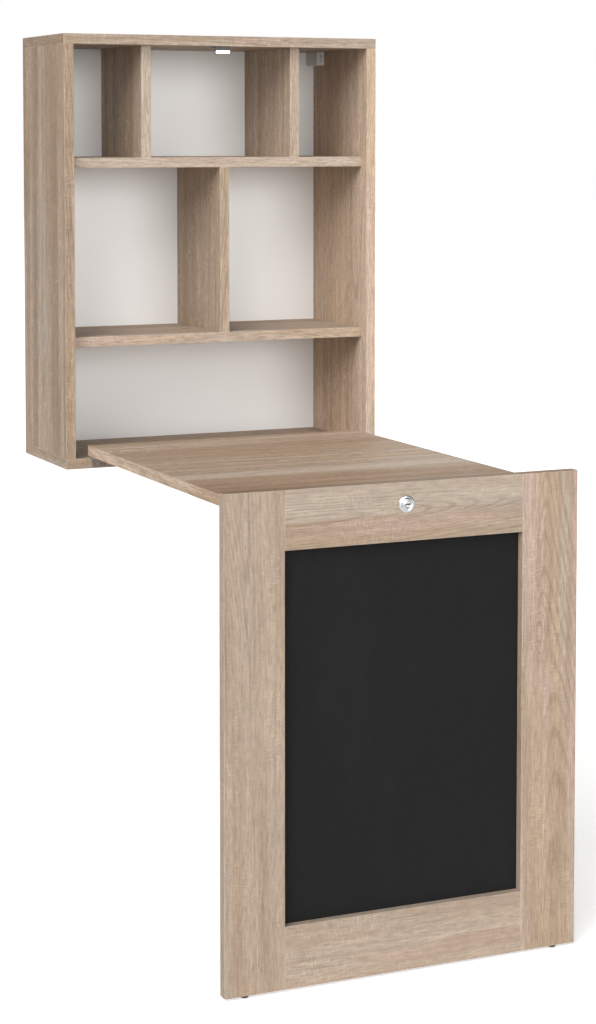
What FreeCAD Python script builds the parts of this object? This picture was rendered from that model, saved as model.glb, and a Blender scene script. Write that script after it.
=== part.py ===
import FreeCAD, Part
import math
import os

# Fold-down wall desk: a wall-hung box of shelves whose writing top folds out on
# butt hinges, carried at its far end by a full-height blackboard panel that hangs
# on a second pair of hinges and stands on the floor as the leg.
# Millimetres.  +Z up, the front faces -Y, the wall is the plane Y = 0 and the
# origin is the middle of the box's back.

V = FreeCAD.Vector

# ------------------------------------------------------------------ sizes
BOARD = 18.0           # thickness of the carcass boards
BOX_W = 600.0          # outer width of the box
BOX_H = 760.0          # outer height of the box
BOX_D = 235.0          # depth of the carcass boards
BACK_T = 3.0           # thickness of the back panel
BACK_INSET = 1.5       # back panel edge inside the carcass outline
UPPER_BAY = 197.5      # clear height above the upper shelf
MIDDLE_BAY = 297.0     # clear height between the shelves
DIV_LEFT_X = -149.5    # left face of the upper left divider
DIV_RIGHT_X = 138.0    # left face of the upper right divider
DIV_LOW_X = 0.0        # left face of the lower divider
EDGE = 0.5             # eased edge of every board

TOP_T = 18.0           # thickness of the writing top
TOP_SIDE_GAP = 21.0    # writing top edge to the side panel's inner face
TOP_GAP = 5.0          # underside of the writing top above the bottom panel
FOLD_GAP = 4.0         # folded writing top to the shelf fronts
FOOT_GAP = 0.5         # folded writing top above the bottom panel
END_GAP = 1.0          # far end of the writing top to the leg panel
NOTCH_W = 44.0         # clearance notch for the lock in the far end
NOTCH_D = 30.0
NOTCH_R = 8.0

PANEL_T = 18.0         # thickness of the leg panel's frame
PANEL_MARGIN = 2.0     # folded panel inside the box outline, top and bottom
PANEL_RISE = 19.0      # panel top above the writing surface
STILE_W = 98.0
TOP_RAIL_H = 91.0
LOW_RAIL_H = 96.0
REBATE_W = 10.0        # rebate behind the opening that holds the blackboard
REBATE_D = 4.0
BOARD_PLAY = 0.3

KNUCKLE_R = 2.9        # writing top hinges
HINGE_OFF = 3.2        # hinge axis to the faces the leaves lie on
LEG_KNUCKLE_R = 3.3    # leg hinges, one size up
LEG_HINGE_OFF = 3.6
HINGE_L = 60.0
LEAF_T = 1.2
LEAF_W = 16.0
LEAF_R = 2.0
PIN_R = 1.25
PIN_PLAY = 0.08        # radial play of the turning knuckles on the pin
KNUCKLE_GAP = 0.3
HINGE_EDGE = 7.0       # hinge end to the writing top's side edge
LEG_HINGE_EDGE = 66.0

LOCK_DROP = 34.0       # lock centre below the panel top
ROSETTE_R = 13.2
ROSETTE_T = 1.6
LOCK_HEAD_R = 8.6      # head of the barrel, clamps the rosette
LOCK_HEAD_T = 3.8
PLUG_SINK = 0.7        # plug face behind the head's rim
BARREL_R = 8.0
BARREL_BACK = 10.0     # barrel end behind the panel
BARREL_PLAY = 0.2      # barrel in the rail's hole
PLUG_R = 5.5
PLUG_PLAY = 0.05
NECK_R = 4.0
CAM_STANDOFF = 17.6    # cam front face behind the panel
CAM_T = 2.0
CAM_REACH = 15.0
CAM_W = 12.0
NUT_AF = 22.0
NUT_T = 4.0

STRIKE_W = 27.4
STRIKE_T = 1.5
STRIKE_DROP = 13.0
STRIKE_LIP = 6.0
STRIKE_LEAF = 20.0
STRIKE_CLEAR = 0.9     # strike to the cam that turns behind it

HANGER_W = 15.2
HANGER_L = 49.0
HANGER_H = 25.4
HANGER_SKIRT_W = 6.0
HANGER_SKIRT_H = 5.0
HOOK_T = 2.5
HOOK_H = 12.0
HOOK_IN = 30.0         # hook strip inside the housing

GLIDE_R = 6.5
GLIDE_H = 5.0
GLIDE_X = 264.5

DOWEL_R = 4.0
DOWEL_L = 30.0
CONFIRMAT_L = 50.0
CAM_FIT_R = 7.5
CAM_FIT_H = 12.5
CAM_FIT_IN = 24.0      # cam fitting centre from the shelf end
BOLT_R = 3.0
BOLT_IN = 11.0         # bolt in the side panel
SIDES = 8              # flat sides of a screw
PEG_SIDES = 6          # flat sides of what is wholly hidden
PIN_SIDES = 12         # flat sides of a knuckle's bore, outside the pin's circle
KNUCKLE_SIDES = 12
ROUND_SIDES = 12       # screw heads that show on the box
BORE_SIDES = 24        # the lock's bores
KNUCKLES = 3
THREAD_PLAY = 0.05     # nut on the lock barrel

# --------------------------------------------------------- derived places
x_out = BOX_W / 2
x_in = x_out - BOARD
y_back = -BACK_T
y_front = y_back - BOX_D
z_bot = -BOX_H / 2
z_top = BOX_H / 2
setback = TOP_T + FOLD_GAP
y_shelf = y_front + setback
z_shelf2 = z_top - BOARD - UPPER_BAY - BOARD
z_shelf1 = z_shelf2 - MIDDLE_BAY - BOARD

top_x = x_in - TOP_SIDE_GAP
top_z0 = z_bot + BOARD + TOP_GAP
top_z1 = top_z0 + TOP_T
axis_a_y = y_front - HINGE_OFF
axis_a_z = top_z0 - HINGE_OFF
top_rear = axis_a_y + (axis_a_z - (z_bot + BOARD) - FOOT_GAP)

panel_h = BOX_H - 2 * PANEL_MARGIN
panel_z1 = top_z1 + PANEL_RISE
panel_z0 = panel_z1 - panel_h
axis_b_z = top_z0 - LEG_HINGE_OFF
axis_step = axis_a_z - axis_b_z
reach = (z_bot + PANEL_MARGIN - panel_z0) - axis_step
axis_b_y = axis_a_y - reach
panel_back = axis_b_y - LEG_HINGE_OFF
panel_front = panel_back - PANEL_T
top_far = panel_back + END_GAP
travel_y = reach - axis_step
travel_z = reach + axis_step
open_x = x_out - STILE_W
open_z1 = panel_z1 - TOP_RAIL_H
open_z0 = panel_z0 + LOW_RAIL_H
lock_z = panel_z1 - LOCK_DROP

parts = {}


# ---------------------------------------------------------------- helpers
def block(x0, x1, y0, y1, z0, z1):
    return Part.makeBox(x1 - x0, y1 - y0, z1 - z0, V(x0, y0, z0))


def board(x0, x1, y0, y1, z0, z1, edge=EDGE):
    b = block(x0, x1, y0, y1, z0, z1)
    return b.makeChamfer(edge, b.Edges)


def rod(r, length, at, direction):
    return Part.makeCylinder(r, length, at, direction)


def turned(profile, at, direction):
    """Solid of revolution: profile is (radius, height) points from the axis round to
    the axis, height measured along direction from at."""
    pts = [V(r, 0, h) for r, h in profile]
    face = Part.Face(Part.makePolygon(pts + [pts[0]]))
    solid = face.revolve(V(0, 0, 0), V(0, 0, 1), 360)
    turn = FreeCAD.Rotation(V(0, 0, 1), direction)
    solid.Placement = FreeCAD.Placement(at, turn)
    return solid


def faceted(profile, at, direction, sides=SIDES):
    """The same as turned with flat sides, for what is small and mostly hidden."""
    rings = []
    for r, h in profile:
        ring = [V(r * math.cos(2 * math.pi * k / sides), r * math.sin(2 * math.pi * k / sides), h)
                for k in range(sides)]
        rings.append(ring if r > 0 else [V(0, 0, h)])
    faces = []
    for a, b in zip(rings, rings[1:]):
        for k in range(sides):
            n = (k + 1) % sides
            if len(a) == 1 or len(b) == 1:
                tip, rim = (a, b) if len(a) == 1 else (b, a)
                corners = [tip[0], rim[k], rim[n]]
            else:
                corners = [a[k], a[n], b[n], b[k]]
            faces.append(corners)
    flat = []
    for a, b, (_, ha), (_, hb) in zip(rings, rings[1:], profile, profile[1:]):
        if ha == hb and (len(a) == 1 or len(b) == 1):
            flat.append(a if len(b) == 1 else b)
    faces = [f for f in faces if not (len(f) == 3 and f[0].z == f[1].z == f[2].z)] + flat
    skin = [Part.Face(Part.makePolygon(f + [f[0]])) for f in faces]
    solid = Part.Solid(Part.Shell(skin))
    if solid.Volume < 0:
        solid.reverse()
    solid.Placement = FreeCAD.Placement(at, FreeCAD.Rotation(V(0, 0, 1), direction))
    return solid


def peg(r, length, at, direction, sides=PEG_SIDES):
    return faceted([(0, 0), (r, 0), (r, length), (0, length)], at, direction, sides)


def screw(at, direction, length, r=1.5, head_r=2.9, head_h=1.2):
    """Countersunk screw; at is the head's outer face, direction runs to the point."""
    return faceted([(0, 0), (head_r, 0), (r, head_h), (r, length), (0, length)], at, direction)


def prism(points, x0, x1):
    """Straight prism along X from points in the YZ plane."""
    pts = [V(x0, y, z) for y, z in points]
    return Part.Face(Part.makePolygon(pts + [pts[0]])).extrude(V(x1 - x0, 0, 0))


def cut_all(shape, tools):
    for t in tools:
        shape = shape.cut(t)
    return shape


def one(shape):
    return shape.Solids[0] if len(shape.Solids) == 1 else shape


# -------------------------------------------------------------- the carcass
bottom = board(-x_out, x_out, y_front, y_back, z_bot, z_bot + BOARD)
top = board(-x_out, x_out, y_front, y_back, z_top - BOARD, z_top)
left = board(-x_out, -x_in, y_front, y_back, z_bot + BOARD, z_top - BOARD)
right = board(x_in, x_out, y_front, y_back, z_bot + BOARD, z_top - BOARD)
shelf_u = board(-x_in, x_in, y_shelf, y_back, z_shelf2, z_shelf2 + BOARD)
shelf_l = board(-x_in, x_in, y_shelf, y_back, z_shelf1, z_shelf1 + BOARD)
z_up0 = z_shelf2 + BOARD
z_up1 = z_top - BOARD
z_md0 = z_shelf1 + BOARD
div_ul = board(DIV_LEFT_X, DIV_LEFT_X + BOARD, y_shelf, y_back, z_up0, z_up1)
div_ur = board(DIV_RIGHT_X, DIV_RIGHT_X + BOARD, y_shelf, y_back, z_up0, z_up1)
div_lo = board(DIV_LOW_X, DIV_LOW_X + BOARD, y_shelf, y_back, z_md0, z_shelf2)

# screws that pull the top and bottom panels onto the ends of the sides
y_rows = (y_front + 42.0, y_back - 70.0)
side_mid = (x_out + x_in) / 2
confirmats = []
for sx in (-1, 1):
    for y in y_rows:
        for zc, down in ((z_top, -1), (z_bot, 1)):
            profile = [(0, 0), (4.8, 0), (3.0, 3.0), (3.0, CONFIRMAT_L), (0, CONFIRMAT_L)]
            confirmats.append(faceted(profile, V(sx * side_mid, y, zc), V(0, 0, down),
                                      ROUND_SIDES))
top = cut_all(top, confirmats)
bottom = cut_all(bottom, confirmats)
left = cut_all(left, confirmats)
right = cut_all(right, confirmats)

# cam fittings, bolts and one dowel at each shelf end
cams = []
bolts = []
dowels = []
sides = {-1: left, 1: right}
shelves = []
for shelf, z0 in ((shelf_u, z_shelf2), (shelf_l, z_shelf1)):
    z_mid = z0 + BOARD / 2
    for sx in (-1, 1):
        for y in (y_shelf + 37.0, y_back - 37.0):
            seat = peg(CAM_FIT_R, CAM_FIT_H, V(sx * (x_in - CAM_FIT_IN), y, z0), V(0, 0, 1), SIDES)
            bore = peg(BOLT_R, BOLT_IN + CAM_FIT_IN + 2.0, V(sx * (x_in + BOLT_IN), y, z_mid),
                       V(-sx, 0, 0))
            slot = block(-1.0, 1.0, -5.0, 5.0, 0, 2.0)
            slot.translate(V(sx * (x_in - CAM_FIT_IN), y, z0))
            cams.append(one(seat.cut(bore).cut(slot)))
            bolts.append(bore)
            shelf = shelf.cut(seat).cut(bore)
            sides[sx] = sides[sx].cut(bore)
        pin = peg(DOWEL_R, DOWEL_L, V(sx * (x_in + 11.0), (y_shelf + y_back) / 2, z_mid),
                  V(-sx, 0, 0))
        dowels.append(pin)
        shelf = shelf.cut(pin)
        sides[sx] = sides[sx].cut(pin)
    shelves.append(shelf)
shelf_u, shelf_l = shelves
left, right = sides[-1], sides[1]

# dowels that stand the dividers between the boards above and below them
for name, x0, z0, z1 in (("ul", DIV_LEFT_X, z_up0, z_up1), ("ur", DIV_RIGHT_X, z_up0, z_up1),
                         ("lo", DIV_LOW_X, z_md0, z_shelf2)):
    for y in (y_shelf + 45.0, y_back - 45.0):
        for z in (z0 - 8.0, z1 + 8.0 - DOWEL_L):
            pin = peg(DOWEL_R, DOWEL_L, V(x0 + BOARD / 2, y, z), V(0, 0, 1))
            dowels.append(pin)
            top = top.cut(pin) if z + DOWEL_L > z_up1 else top
            shelf_u = shelf_u.cut(pin)
            shelf_l = shelf_l.cut(pin) if z < z_md0 else shelf_l
            if name == "ul":
                div_ul = div_ul.cut(pin)
            elif name == "ur":
                div_ur = div_ur.cut(pin)
            else:
                div_lo = div_lo.cut(pin)

# back panel, nailed on from behind, with a window for each hanger hook
bx = x_out - BACK_INSET
bz = BOX_H / 2 - BACK_INSET
back = block(-bx, bx, y_back, 0, -bz, bz)
hang_x = x_in - HANGER_W / 2
hook_z = z_top - BOARD - HANGER_H / 2
for sx in (-1, 1):
    back = back.cut(block(sx * hang_x - 5.0, sx * hang_x + 5.0, y_back, 0,
                          hook_z - HOOK_H / 2 - 2, hook_z + HOOK_H / 2 + 2))
nails = []
nail_profile = [(0, 0), (2.2, 0), (0.9, 1.0), (0.9, 18.0), (0, 18.0)]
for sx in (-1, 1):
    for z in (-0.3 * BOX_H, 0.3 * BOX_H):
        nails.append(faceted(nail_profile, V(sx * side_mid, 0, z), V(0, -1, 0), PEG_SIDES))
for zc in (z_top - BOARD / 2, z_bot + BOARD / 2):
    for x in (-0.25 * BOX_W, 0.25 * BOX_W):
        nails.append(faceted(nail_profile, V(x, 0, zc), V(0, -1, 0), PEG_SIDES))
for z0 in (z_shelf1, z_shelf2):
    for x in (-0.2 * BOX_W, 0.2 * BOX_W):
        nails.append(faceted(nail_profile, V(x, 0, z0 + BOARD / 2), V(0, -1, 0), PEG_SIDES))
back = cut_all(back, nails)
left = cut_all(left, nails[:2])
right = cut_all(right, nails[2:4])
top = cut_all(top, nails[4:6])
bottom = cut_all(bottom, nails[6:8])
shelf_l = cut_all(shelf_l, nails[8:10])
shelf_u = cut_all(shelf_u, nails[10:12])

# ---------------------------------------------------------------- hangers
hang_z1 = z_top - BOARD
hang_z0 = hang_z1 - HANGER_H
fixings = []
adjusters = []
for sx, word in ((-1, "left"), (1, "right")):
    xa, xb = sorted((sx * x_in, sx * (x_in - HANGER_W)))
    body = block(xa, xb, y_back - HANGER_L, y_back, hang_z0, hang_z1)
    long_edges = [e for e in body.Edges if abs(e.tangentAt(e.FirstParameter).y) > 0.9
                  and abs(e.CenterOfMass.x) < x_in - 1]
    body = body.makeFillet(2.0, long_edges)
    xs, xt = sorted((sx * (x_in - HANGER_W), sx * (x_in - HANGER_W + HANGER_SKIRT_W)))
    skirt = block(xs, xt, y_back - HANGER_L + 4, y_back - 4, hang_z0 - HANGER_SKIRT_H,
                  hang_z0 + 4)
    body = body.fuse(skirt).removeSplitter()
    hook = block(sx * hang_x - HOOK_T / 2, sx * hang_x + HOOK_T / 2, y_back - HOOK_IN, 0,
                 hook_z - HOOK_H / 2, hook_z + HOOK_H / 2)
    throat = block(sx * hang_x - HOOK_T, sx * hang_x + HOOK_T, y_back - 0.4, -1.6,
                   hook_z - 1.0, hook_z + HOOK_H)
    hook = hook.cut(throat)
    channel = block(sx * hang_x - HOOK_T / 2, sx * hang_x + HOOK_T / 2, y_back - HOOK_IN,
                    y_back, hook_z - HOOK_H / 2, hook_z + HOOK_H / 2)
    body = body.cut(channel)
    for y in (y_back - 8.0, y_back - HANGER_L + 8.0):
        fix = faceted([(0, 0), (3.6, 0), (2.0, 1.6), (2.0, 26.0), (0, 26.0)],
                      V(sx * (x_in - HANGER_W), y, hang_z0 + 4.2), V(sx, 0, 0))
        fixings.append(fix)
        body = body.cut(fix)
        if sx < 0:
            left = left.cut(fix)
        else:
            right = right.cut(fix)
    for dz in (-3.6, 4.4):
        turn = faceted([(0, 0), (2.8, 0), (1.6, 2.4),
                        (1.6, HANGER_L - HOOK_IN + 2), (0, HANGER_L - HOOK_IN + 2)],
                       V(sx * hang_x, y_back - HANGER_L, hook_z + dz), V(0, 1, 0))
        body = body.cut(turn)
        hook = hook.cut(turn)
        slot = block(-3.0, 3.0, 0, 1.2, -0.5, 0.5)
        slot.translate(V(sx * hang_x, y_back - HANGER_L, hook_z + dz))
        adjusters.append(one(turn.cut(slot)))
    parts["hanger_housing_" + word] = one(body)
    parts["hanger_hook_" + word] = one(hook)


# ------------------------------------------------------------- butt hinges
def knuckle_spans(xc):
    w = HINGE_L / KNUCKLES
    x0 = xc - HINGE_L / 2
    last = KNUCKLES - 1
    return [(x0 + i * w + (KNUCKLE_GAP / 2 if i else 0),
             x0 + (i + 1) * w - (KNUCKLE_GAP / 2 if i < last else 0)) for i in range(KNUCKLES)]


def leaf(xc, yc, zc, mount, along, off, r, outer):
    """One hinge leaf: mount and along are unit (y, z) directions, from the axis to the
    face it lies on and along that face; outer leaves carry the end knuckles."""
    a = [(yc + mount[0] * m + along[0] * s, zc + mount[1] * m + along[1] * s)
         for m, s in ((off, 0), (off, LEAF_W), (off - LEAF_T, LEAF_W), (off - LEAF_T, 0))]
    plate = prism(a, xc - HINGE_L / 2, xc + HINGE_L / 2)
    spans = knuckle_spans(xc)
    corner = [e for e in plate.Edges
              if abs((e.CenterOfMass.y - yc) * along[0]
                     + (e.CenterOfMass.z - zc) * along[1] - LEAF_W) < 0.01
              and e.Length < LEAF_T + 0.01]
    plate = plate.makeFillet(LEAF_R, corner)
    for i, (x0, x1) in enumerate(spans):
        mine = (i % 2 == 0) == outer
        if mine:
            plate = plate.fuse(peg(r, x1 - x0, V(x0, yc, zc), V(1, 0, 0), KNUCKLE_SIDES))
        else:
            room = r + 0.35
            slot = [(yc + mount[0] * m + along[0] * s, zc + mount[1] * m + along[1] * s)
                    for m, s in ((-room, -room), (off + 1, -room), (off + 1, room), (-room, room))]
            plate = plate.cut(prism(slot, x0 - KNUCKLE_GAP, x1 + KNUCKLE_GAP))
    bore = (PIN_R if outer else PIN_R + PIN_PLAY) / math.cos(math.pi / PIN_SIDES)
    plate = plate.cut(peg(bore, HINGE_L + 4, V(xc - HINGE_L / 2 - 2, yc, zc), V(1, 0, 0),
                          PIN_SIDES))
    return plate


def leaf_screws(xc, yc, zc, mount, along, off, length):
    out = []
    for dx in (-20.0, 0.0, 20.0):
        y = yc + mount[0] * (off - LEAF_T) + along[0] * (LEAF_W - 6.0)
        z = zc + mount[1] * (off - LEAF_T) + along[1] * (LEAF_W - 6.0)
        out.append(screw(V(xc + dx, y, z), V(0, mount[0], mount[1]), length))
    return out


def hinge_pin(xc, yc, zc):
    return rod(PIN_R, HINGE_L + 0.6, V(xc - HINGE_L / 2 - 0.3, yc, zc), V(1, 0, 0))


UP, DOWN, OUT, IN = (0, 1), (0, -1), (-1, 0), (1, 0)
screws_a_box, screws_a_top, screws_b_top, screws_b_leg = [], [], [], []
pins_a, pins_b = [], []
for sx, word in ((-1, "left"), (1, "right")):
    xa = sx * (top_x - HINGE_EDGE - HINGE_L / 2)
    fixed = leaf(xa, axis_a_y, axis_a_z, IN, DOWN, HINGE_OFF, KNUCKLE_R, True)
    moving = leaf(xa, axis_a_y, axis_a_z, UP, OUT, HINGE_OFF, KNUCKLE_R, False)
    sa = leaf_screws(xa, axis_a_y, axis_a_z, IN, DOWN, HINGE_OFF, 22.0)
    sb = leaf_screws(xa, axis_a_y, axis_a_z, UP, OUT, HINGE_OFF, 14.0)
    parts["top_hinge_box_leaf_" + word] = one(cut_all(fixed, sa))
    parts["top_hinge_top_leaf_" + word] = one(cut_all(moving, sb))
    pins_a.append(hinge_pin(xa, axis_a_y, axis_a_z))
    screws_a_box += sa
    screws_a_top += sb

    xb = sx * (top_x - LEG_HINGE_EDGE - HINGE_L / 2)
    fixed = leaf(xb, axis_b_y, axis_b_z, UP, IN, LEG_HINGE_OFF, LEG_KNUCKLE_R, True)
    moving = leaf(xb, axis_b_y, axis_b_z, OUT, DOWN, LEG_HINGE_OFF, LEG_KNUCKLE_R, False)
    sa = leaf_screws(xb, axis_b_y, axis_b_z, UP, IN, LEG_HINGE_OFF, 14.0)
    sb = leaf_screws(xb, axis_b_y, axis_b_z, OUT, DOWN, LEG_HINGE_OFF, 14.0)
    parts["leg_hinge_top_leaf_" + word] = one(cut_all(fixed, sa))
    parts["leg_hinge_panel_leaf_" + word] = one(cut_all(moving, sb))
    pins_b.append(hinge_pin(xb, axis_b_y, axis_b_z))
    screws_b_top += sa
    screws_b_leg += sb
bottom = cut_all(bottom, screws_a_box)

# --------------------------------------------------------------- writing top
desk_top = board(-top_x, top_x, top_far, top_rear, top_z0, top_z1)
notch = block(-NOTCH_W / 2, NOTCH_W / 2, top_far - 5, top_far + NOTCH_D, top_z0 - 1, top_z1 + 1)
notch = notch.makeFillet(NOTCH_R, [e for e in notch.Edges
                                   if abs(e.CenterOfMass.y - top_far - NOTCH_D) < 0.01
                                   and e.Length > TOP_T + 1 and abs(e.CenterOfMass.x) > 1])
desk_top = desk_top.cut(notch)
desk_top = cut_all(desk_top, screws_a_top + screws_b_top)

# ----------------------------------------------------------------- leg panel
stile_l = board(-x_out, -open_x, panel_front, panel_back, panel_z0, panel_z1)
stile_r = board(open_x, x_out, panel_front, panel_back, panel_z0, panel_z1)
rail_t = board(-open_x, open_x, panel_front, panel_back, open_z1, panel_z1)
rail_b = board(-open_x, open_x, panel_front, panel_back, panel_z0, open_z0)
rebate = block(-open_x - REBATE_W, open_x + REBATE_W, panel_back - REBATE_D, panel_back + 1,
               open_z0 - REBATE_W, open_z1 + REBATE_W)
stile_l = stile_l.cut(rebate)
stile_r = stile_r.cut(rebate)
rail_t = rail_t.cut(rebate)
rail_b = rail_b.cut(rebate)
bw = open_x + REBATE_W - BOARD_PLAY
chalk = block(-bw, bw, panel_back - REBATE_D, panel_back,
              open_z0 - REBATE_W + BOARD_PLAY, open_z1 + REBATE_W - BOARD_PLAY)

frame_dowels = []
mid_y = (panel_front + panel_back) / 2
for sx in (-1, 1):
    for z in (panel_z1 - 24.0, open_z1 + 24.0, open_z0 - 24.0, panel_z0 + 24.0):
        frame_dowels.append(peg(DOWEL_R, 50.0, V(sx * (open_x + 25.0), mid_y, z), V(-sx, 0, 0)))
stile_l = cut_all(stile_l, frame_dowels[:4])
stile_r = cut_all(stile_r, frame_dowels[4:])
rail_t = cut_all(rail_t, [frame_dowels[i] for i in (0, 1, 4, 5)])
rail_b = cut_all(rail_b, [frame_dowels[i] for i in (2, 3, 6, 7)])

board_screws = []
edge_x = open_x + REBATE_W / 2
edge_zt = open_z1 + REBATE_W / 2
edge_zb = open_z0 - REBATE_W / 2
mid_z = (open_z0 + open_z1) / 2
seats = [(sx * edge_x, mid_z + k * (open_z1 - open_z0) * 0.4) for sx in (-1, 1)
         for k in (-1, 1)]
seats += [(sx * open_x * 0.5, z) for sx in (-1, 1) for z in (edge_zt, edge_zb)]
for x, z in seats:
    board_screws.append(screw(V(x, panel_back, z), V(0, -1, 0), 13.0))
chalk = cut_all(chalk, board_screws)
stile_l = cut_all(stile_l, board_screws[:2])
stile_r = cut_all(stile_r, board_screws[2:4])
rail_t = cut_all(rail_t, [board_screws[4], board_screws[6]])
rail_b = cut_all(rail_b, [board_screws[5], board_screws[7]])
rail_t = cut_all(rail_t, screws_b_leg)

# glides nailed under the stiles
glides = []
for sx in (-1, 1):
    pad = faceted([(0, -GLIDE_H), (4.6, -GLIDE_H), (GLIDE_R, -GLIDE_H + 1.6), (GLIDE_R, 0),
                   (0, 0)], V(sx * GLIDE_X, mid_y, panel_z0), V(0, 0, 1), 20)
    nail = peg(0.9, 15.0, V(sx * GLIDE_X, mid_y, panel_z0 - 1.0), V(0, 0, 1))
    glides.append(one(pad.fuse(nail)))
stile_l = stile_l.cut(glides[0])
stile_r = stile_r.cut(glides[1])

# ---------------------------------------------------------------------- lock
rail_t = rail_t.cut(peg(BARREL_R + BARREL_PLAY, PANEL_T + 4,
                        V(0, panel_front - 2, lock_z), V(0, 1, 0), BORE_SIDES))
face_y = panel_front - ROSETTE_T
head_y = face_y - LOCK_HEAD_T
barrel_end = panel_back + BARREL_BACK
cam_y = panel_back + CAM_STANDOFF
t, h = ROSETTE_T, LOCK_HEAD_T
rosette = turned([(BARREL_R, 0), (ROSETTE_R, 0), (ROSETTE_R - 1.2, t), (BARREL_R, t)],
                 V(0, panel_front, lock_z), V(0, -1, 0))
bl = barrel_end - face_y
barrel = turned([(PLUG_R + PLUG_PLAY, -h), (LOCK_HEAD_R - 0.9, -h), (LOCK_HEAD_R, -h + 0.9),
                 (LOCK_HEAD_R, 0), (BARREL_R, 0), (BARREL_R, bl), (PLUG_R + PLUG_PLAY, bl)],
                V(0, face_y, lock_z), V(0, 1, 0))
pl = barrel_end - head_y
nl = cam_y - head_y
plug = turned([(0, PLUG_SINK), (PLUG_R, PLUG_SINK), (PLUG_R, pl), (NECK_R, pl), (NECK_R, nl),
               (0, nl)], V(0, head_y, lock_z), V(0, 1, 0))
tenon = block(-2.5, 2.5, cam_y - 0.5, cam_y + CAM_T, lock_z - 2.5, lock_z + 2.5)
keyway = block(-4.3, 4.3, head_y, head_y + 9.0, lock_z - 0.8, lock_z + 0.8)
cam_screw = faceted([(0, -2.2), (2.6, -2.2), (3.8, -1.2), (3.8, 0), (0, 0)],
                    V(0, cam_y + CAM_T, lock_z), V(0, -1, 0), 12)
cam_screw = one(cam_screw.fuse(peg(1.5, 10.0, V(0, cam_y + CAM_T + 1.0, lock_z), V(0, -1, 0))))
plug = plug.fuse(tenon).cut(keyway).cut(cam_screw).removeSplitter()
arm = block(-CAM_REACH + 3, 0, cam_y, cam_y + CAM_T, lock_z - CAM_W / 2, lock_z + CAM_W / 2)
tip = block(-CAM_REACH, -CAM_REACH + 3, cam_y, cam_y + CAM_T,
            lock_z - CAM_W / 2 + 2, lock_z + CAM_W / 2)
cam = arm.fuse(tip).fuse(peg(CAM_W / 2, CAM_T, V(0, cam_y, lock_z), V(0, 1, 0), 24))
cam = cam.cut(tenon).removeSplitter()
nut_r = NUT_AF / 2 / math.cos(math.pi / 6)
hexagon = [V(nut_r * math.cos(math.radians(60 * i)), panel_back,
             lock_z + nut_r * math.sin(math.radians(60 * i))) for i in range(7)]
nut = Part.Face(Part.makePolygon(hexagon)).extrude(V(0, NUT_T, 0))
nut_bore = (BARREL_R + THREAD_PLAY) / math.cos(math.pi / BORE_SIDES)
nut = nut.cut(peg(nut_bore, NUT_T + 2, V(0, panel_back - 1, lock_z), V(0, 1, 0), BORE_SIDES))

# the strike hangs under the top panel where the cam comes to when the desk is folded
strike_back = cam_y + travel_y - STRIKE_CLEAR
sz = z_top - BOARD
web_y = strike_back - STRIKE_T
bend = [(web_y, sz), (web_y, sz - STRIKE_DROP), (strike_back, sz - STRIKE_DROP),
        (strike_back, sz - STRIKE_T), (web_y + STRIKE_LEAF, sz - STRIKE_T),
        (web_y + STRIKE_LEAF, sz)]
bracket = prism(bend, -STRIKE_W / 2, STRIKE_W / 2)
lip = block(-STRIKE_W / 2, STRIKE_W / 2, web_y - STRIKE_T, web_y, sz - STRIKE_DROP,
            sz - STRIKE_DROP + STRIKE_LIP)
lip = lip.makeFillet(0.6, [e for e in lip.Edges if abs(e.CenterOfMass.y - web_y + STRIKE_T) < 0.01])
strike_screws = [screw(V(sx * 8.0, strike_back + 9.5, sz - STRIKE_T), V(0, 0, 1), 14.0)
                 for sx in (-1, 1)]
rivets = [faceted([(0, -0.5), (1.0, -0.5), (1.6, 0), (1.1, 0), (1.1, 2 * STRIKE_T),
                   (0, 2 * STRIKE_T)],
                  V(sx * 9.5, web_y - STRIKE_T, sz - STRIKE_DROP + STRIKE_LIP / 2), V(0, 1, 0))
          for sx in (-1, 1)]
bracket = cut_all(bracket, strike_screws + rivets)
lip = cut_all(lip, rivets)
top = cut_all(top, strike_screws)

# -------------------------------------------------------------------- output
parts.update({
    "bottom_panel": one(bottom),
    "top_panel": one(top),
    "side_panel_left": one(left),
    "side_panel_right": one(right),
    "back_panel": one(back),
    "shelf_upper": one(shelf_u),
    "shelf_lower": one(shelf_l),
    "divider_upper_left": one(div_ul),
    "divider_upper_right": one(div_ur),
    "divider_lower": one(div_lo),
    "carcass_screws": Part.makeCompound(confirmats),
    "shelf_cams": Part.makeCompound(cams),
    "shelf_cam_bolts": Part.makeCompound(bolts),
    "carcass_dowels": Part.makeCompound(dowels),
    "back_nails": Part.makeCompound(nails),
    "hanger_fixing_screws": Part.makeCompound(fixings),
    "hanger_adjusting_screws": Part.makeCompound(adjusters),
    "strike_bracket": one(bracket),
    "strike_lip": one(lip),
    "strike_screws": Part.makeCompound(strike_screws),
    "strike_rivets": Part.makeCompound(rivets),
    "top_hinge_pins": Part.makeCompound(pins_a),
    "top_hinge_box_screws": Part.makeCompound(screws_a_box),
    "top_hinge_top_screws": Part.makeCompound(screws_a_top),
    "writing_top": one(desk_top),
    "leg_hinge_pins": Part.makeCompound(pins_b),
    "leg_hinge_top_screws": Part.makeCompound(screws_b_top),
    "leg_hinge_panel_screws": Part.makeCompound(screws_b_leg),
    "panel_stile_left": one(stile_l),
    "panel_stile_right": one(stile_r),
    "panel_rail_top": one(rail_t),
    "panel_rail_bottom": one(rail_b),
    "panel_dowels": Part.makeCompound(frame_dowels),
    "blackboard": one(chalk),
    "blackboard_screws": Part.makeCompound(board_screws),
    "glides": Part.makeCompound(glides),
    "lock_rosette": one(rosette),
    "lock_barrel": one(barrel),
    "lock_nut": one(nut),
    "lock_plug": one(plug),
    "lock_cam": one(cam),
    "lock_cam_screw": one(cam_screw),
})

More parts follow.
